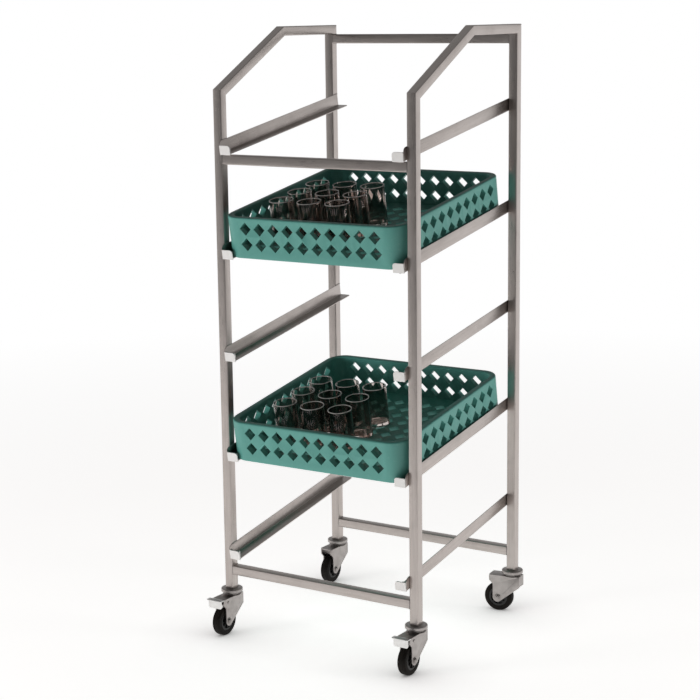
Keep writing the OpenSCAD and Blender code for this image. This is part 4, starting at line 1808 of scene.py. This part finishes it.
@dataclass
class GlassRack:
    """Perforated rack with its tumblers.

    Attributes:
        bench: Workbench.
        level: Which rack.
        edge: Rounding of the holes' edges.
        teal: Finish of the rack.
        glass_radius: Radius of a tumbler.
        glass_height: Height of a tumbler.
        glass_wall: Thickness of its wall.
        glass_base: Thickness of its base.
        glass: Finish of the tumblers.
        rim_glass: Finish of their rims: pale, rough glass that paints a highlight round each rim.
    """

    bench: Bench
    level: Level
    edge: float = 0.0006
    teal: MouldedPlastic = MouldedPlastic(
        "teal plastic",
        colour=(0.085, 0.295, 0.252, 1.0),
        cloud=(0.098, 0.32, 0.275, 1.0),
        scuff=(0.17, 0.38, 0.335, 1.0),
    )
    glass_radius: float = 0.032
    glass_height: float = 0.108
    glass_wall: float = 0.0024
    glass_base: float = 0.010
    glass: SmokedGlass = SmokedGlass("smoked glass")
    rim_glass: SmokedGlass = SmokedGlass("rim glass", (0.80, 0.79, 0.77, 1.0), polish=0.2, clearness=0.45)

    def tray(self) -> None:
        """Rounds the edges of the rack's walls and holes."""
        node = f"{self.level.value}_rack"
        piece = self.bench.from_node(node, f"{node}_tray")
        self.bench.soften(piece, self.edge)
        Fitting(node, "rack_plastic", self.teal).fit(piece, node)

    def tumbler(self) -> Object:
        """Makes a tumbler that stands on the origin, up to the middle of its rim.

        Returns:
            The tumbler.
        """
        wall = self.glass_wall
        rise = self.glass_height - wall / 2
        piece = self.bench.rod("tumbler", Vector((0, 0, rise / 2)), self.glass_radius, rise)
        with self.bench.edit(piece):
            self.bench.pick_ends(piece, Z_AXIS)
            bpy.ops.mesh.inset(thickness=wall)
            self.bench.draw_out(Vector((0, 0, self.glass_base - rise)))
            bpy.ops.mesh.inset(thickness=wall * 2)
            self.bench.pick_ends(piece, -Z_AXIS)
            bpy.ops.mesh.inset(thickness=wall * 2)
            self.bench.draw_out(Vector((0, 0, wall / 2)))
            self.bench.pick(
                piece,
                Kind.EDGE,
                lambda spot, run: spot.z < NEAR and spot.xy.length > self.glass_radius - wall / 2,
            )
            self.bench.round_off(wall)
        self.bench.smooth(piece, ROUND_ANGLE)
        return piece

    def rim(self) -> Object:
        """Makes the rim of a tumbler that stands on the origin, a ring that carries a painted highlight.

        Returns:
            The rim, a square ring whose edges are rounded until they meet.
        """
        half = self.glass_wall / 2
        middle = Vector((0, 0, self.glass_height - half))
        piece = self.bench.rod("rim", middle, self.glass_radius, self.glass_wall)
        with self.bench.edit(piece):
            self.bench.bore(piece, Z_AXIS, self.glass_wall)
            self.bench.pick(
                piece,
                Kind.EDGE,
                lambda spot, run: abs(spot.z - middle.z) > half - NEAR
                and abs(run.dot(spot - middle)) < NEAR,
            )
            self.bench.round_off(half)
            bpy.ops.mesh.select_all(action="SELECT")
            bpy.ops.mesh.remove_doubles(threshold=NEAR)
        self.bench.smooth(piece, ROUND_ANGLE)
        return piece

    def tumblers(self) -> None:
        """Stands nine tumblers where the record's openings say."""
        node = f"{self.level.value}_tumblers"
        body = f"{self.level.value}_rack"
        upright = X_AXIS.cross(slope_axis())
        pattern, rim = self.tumbler(), self.rim()
        glass = Fitting(body, "tumbler_glass", self.glass)
        rim_glass = Fitting(body, "tumbler_glass", self.rim_glass)
        for opening in frame["record"]["physics"]["openings"]:
            if not opening["name"].startswith(f"{self.level.value}_tumbler_"):
                continue
            corners = [Vector(corner) for corner in opening["box_m"]]
            middle = (corners[0] + corners[1]) / 2
            seat = middle - upright * (self.glass_height + self.glass_base) / 2
            place = Matrix.Translation(seat) @ slope_turn()
            glass.fit(self.bench.put(pattern, f"{opening['name']}_glass", place), node)
            # Each rim ring is pale, rough glass that paints a highlight round the tumbler's rim.
            rim_glass.fit(self.bench.put(rim, f"{opening['name']}_rim", place))
        self.bench.drop(pattern)
        self.bench.drop(rim)

    def build(self) -> None:
        """Makes the rack and its tumblers."""
        self.tray()
        self.tumblers()


@dataclass(frozen=True)
class Lamp:
    """Soft square lamp.

    Attributes:
        place: Where it stands.
        power: Power in watts.
        side: Side of the square.
    """

    place: tuple[float, float, float]
    power: float
    side: float


@dataclass
class Studio:
    """White floor and backdrop, soft light and the camera.

    Attributes:
        bench: Workbench.
        eye: Place of the camera.
        azimuth: Turn of the view to the left of +Y, in degrees.
        dip: Dip of the view below the horizon, in degrees.
        roll: Roll of the camera, in degrees.
        lens: Focal length in millimetres on a 36 mm sensor.
        floor_size: Side of the floor.
        floor_colour: Colour of the floor.
        floor_light: Colour of the light that the floor near the dolly gives off.
        floor_glow: Strength of that light.
        floor_near: Distance that the floor keeps its own light to.
        floor_far: Distance from which it is the backdrop.
        contact: Distance over which the dolly dims the floor's own light, which paints a contact shadow.
        sky_high: Brightness of the ceiling.
        sky_mirror: Brightness of the ceiling in the steel's reflections.
        sky_band: Rise where the backdrop ends, and where the ceiling begins.
        room: Brightness of the room on the camera's side.
        room_mirror: Brightness of that side in the steel's reflections.
        room_span: Cosine to the backdrop's middle where that side ends, and where the white begins.
        lamp_set: The lamps.
        lamp_aim: Spot that the lamps point to.
    """

    bench: Bench
    eye: Vector = field(default_factory=lambda: Vector((2.4686, -3.9095, 1.6416)))
    azimuth: float = 32.80
    dip: float = 10.824
    roll: float = -0.71
    lens: float = 91.576
    floor_size: float = 60.0
    floor_colour: Colour = (0.90, 0.88, 0.87, 1.0)
    floor_light: Colour = (1.0, 0.988, 0.98, 1.0)
    floor_glow: float = 0.86
    floor_near: float = 1.6
    floor_far: float = 4.6
    contact: float = 0.22
    sky_high: float = 0.03
    sky_mirror: float = 0.30
    sky_band: tuple[float, float] = (0.04, 0.30)
    room: float = 0.4
    room_mirror: float = 0.18
    room_span: tuple[float, float] = (-0.5, 0.3)
    lamp_set: tuple[Lamp, ...] = (Lamp((3.4, 1.2, 0.3), 52.0, 1.2), Lamp((-2.4, -3.2, 0.3), 88.0, 1.2))
    lamp_aim: tuple[float, float, float] = (0.0, 0.0, 0.8)

    def camera(self) -> None:
        """Stands the camera where the photograph was taken from."""
        self.bench.take(None)
        bpy.ops.object.camera_add()
        camera = bpy.context.active_object
        camera.matrix_world = (
            Matrix.Translation(self.eye)
            @ turned(math.radians(self.azimuth), "Z")
            @ turned(QUARTER - math.radians(self.dip), "X")
            @ turned(math.radians(self.roll), "Z")
        )
        camera.data.lens = self.lens
        bpy.context.scene.camera = camera

    def backdrop(self, shader: Shader, direction: Signal) -> Signal:
        """Brightness of the surroundings at the horizon: white, and dimmer on the camera's side.

        Args:
            shader: Shader that the nodes go into.
            direction: Direction from the dolly.

        Returns:
            The brightness, which is 1 for the camera and through glass.
        """
        turn = math.radians(self.azimuth)
        behind = (-math.sin(turn), math.cos(turn), 0.0)
        ahead = shader.vector("DOT_PRODUCT", shader.vector("NORMALIZE", direction), behind, "Value")
        room = self.room + shader.ray("Glossy") * (self.room_mirror - self.room)
        glow = room + shader.span(ahead, *self.room_span) * (1 - room)
        return glow + (1 - glow) * shader.seen()

    @staticmethod
    def glowing(shader: Shader, colour: Colour, light: Signal, strength: float = 1.0) -> Signal:
        """Adds a matt surface that gives off light of its own.

        Args:
            shader: Shader that the nodes go into.
            colour: Colour of the surface.
            light: Colour of its light.
            strength: Strength of its light.

        Returns:
            The surface.
        """
        return shader.add(
            "ShaderNodeBsdfPrincipled",
            sockets={
                "Base Color": colour,
                "Roughness": 1.0,
                "Specular IOR Level": 0.0,
                "Emission Color": light,
                "Emission Strength": strength,
            },
        )

    def floor(self) -> None:
        """Lays a pale floor that keeps the dolly's real shadow, adds a painted contact shadow to its glow,
        and becomes the backdrop far off.
        """
        floor = self.bench.sheet("floor", Vector(), Vector((self.floor_size, self.floor_size, 1)))
        material = bpy.data.materials.new("pale floor")
        material.use_nodes = True
        shader = Shader(material.node_tree)
        place = shader.place()
        # Ambient occlusion dims the floor's glow near the dolly: a painted contact shadow.
        clear = shader.add("ShaderNodeAmbientOcclusion", sockets={"Distance": self.contact}, output="AO")
        light = shader.blend(clear, BLACK, self.floor_light)
        near = self.glowing(shader, self.floor_colour, light, self.floor_glow)
        far = self.glowing(shader, BLACK, self.backdrop(shader, place))
        away = shader.vector("LENGTH", place, output="Value")
        share = shader.span(away, self.floor_near, self.floor_far)
        surface = shader.add("ShaderNodeMixShader", sockets={0: share, 1: near, 2: far})
        shader.add("ShaderNodeOutputMaterial", sockets={"Surface": surface})
        floor.data.materials.append(material)

    def sky(self) -> None:
        """Gives the world a white backdrop round the horizon and a dim ceiling."""
        world = bpy.data.worlds.new("studio")
        world.use_nodes = True
        bpy.context.scene.world = world
        shader = Shader(world.node_tree)
        direction = shader.add("ShaderNodeTexCoord", output="Generated")
        rise = shader.add("ShaderNodeSeparateXYZ", sockets={0: direction}, output="Z")
        ceiling = shader.span(rise, *self.sky_band)
        level = self.sky_high + shader.ray("Glossy") * (self.sky_mirror - self.sky_high)
        dim = ceiling * (1 - shader.seen()) * (1 - level)
        glow = self.backdrop(shader, direction) * (1 - dim)
        back = shader.add("ShaderNodeBackground", sockets={"Color": glow})
        shader.add("ShaderNodeOutputWorld", sockets={"Surface": back})

    def lamps(self) -> None:
        """Stands a low soft lamp on the right and another at the front left, unseen in the steel."""
        for lamp in self.lamp_set:
            self.bench.take(None)
            turn = facing(Vector(lamp.place) - Vector(self.lamp_aim))
            bpy.ops.object.light_add(type="AREA", location=lamp.place, rotation=turn)
            light = bpy.context.active_object
            light.data.energy = lamp.power
            light.data.size = lamp.side
            light.visible_glossy = False

    def build(self) -> None:
        """Sets up the camera, floor, sky, lamps and view."""
        self.camera()
        self.floor()
        self.sky()
        self.lamps()
        bpy.context.scene.view_settings.view_transform = "Standard"


def dress_hidden() -> None:
    """Gives the pieces that keep their CAD shape a finish."""
    for name, node in frame["nodes"].items():
        if node.hide_render:
            continue
        finish = PLUG_PLASTIC if name == "post_plugs" else BOLT_STEEL
        for slot in node.material_slots:
            slot.material = finish.material()
        LOG.info("%s keeps its shape", name)


def main() -> None:
    """Builds the dolly and its studio."""
    logging.basicConfig(level=logging.INFO, format="%(message)s")
    bench = Bench()
    Studio(bench).build()
    TubeFrame(bench).build()
    RunnerSet(bench).build()
    for corner in Corner:
        Caster(bench, corner).build()
    for level in Level:
        GlassRack(bench, level).build()
    dress_hidden()
    bench.take(None)


if __name__ == "__main__":
    main()
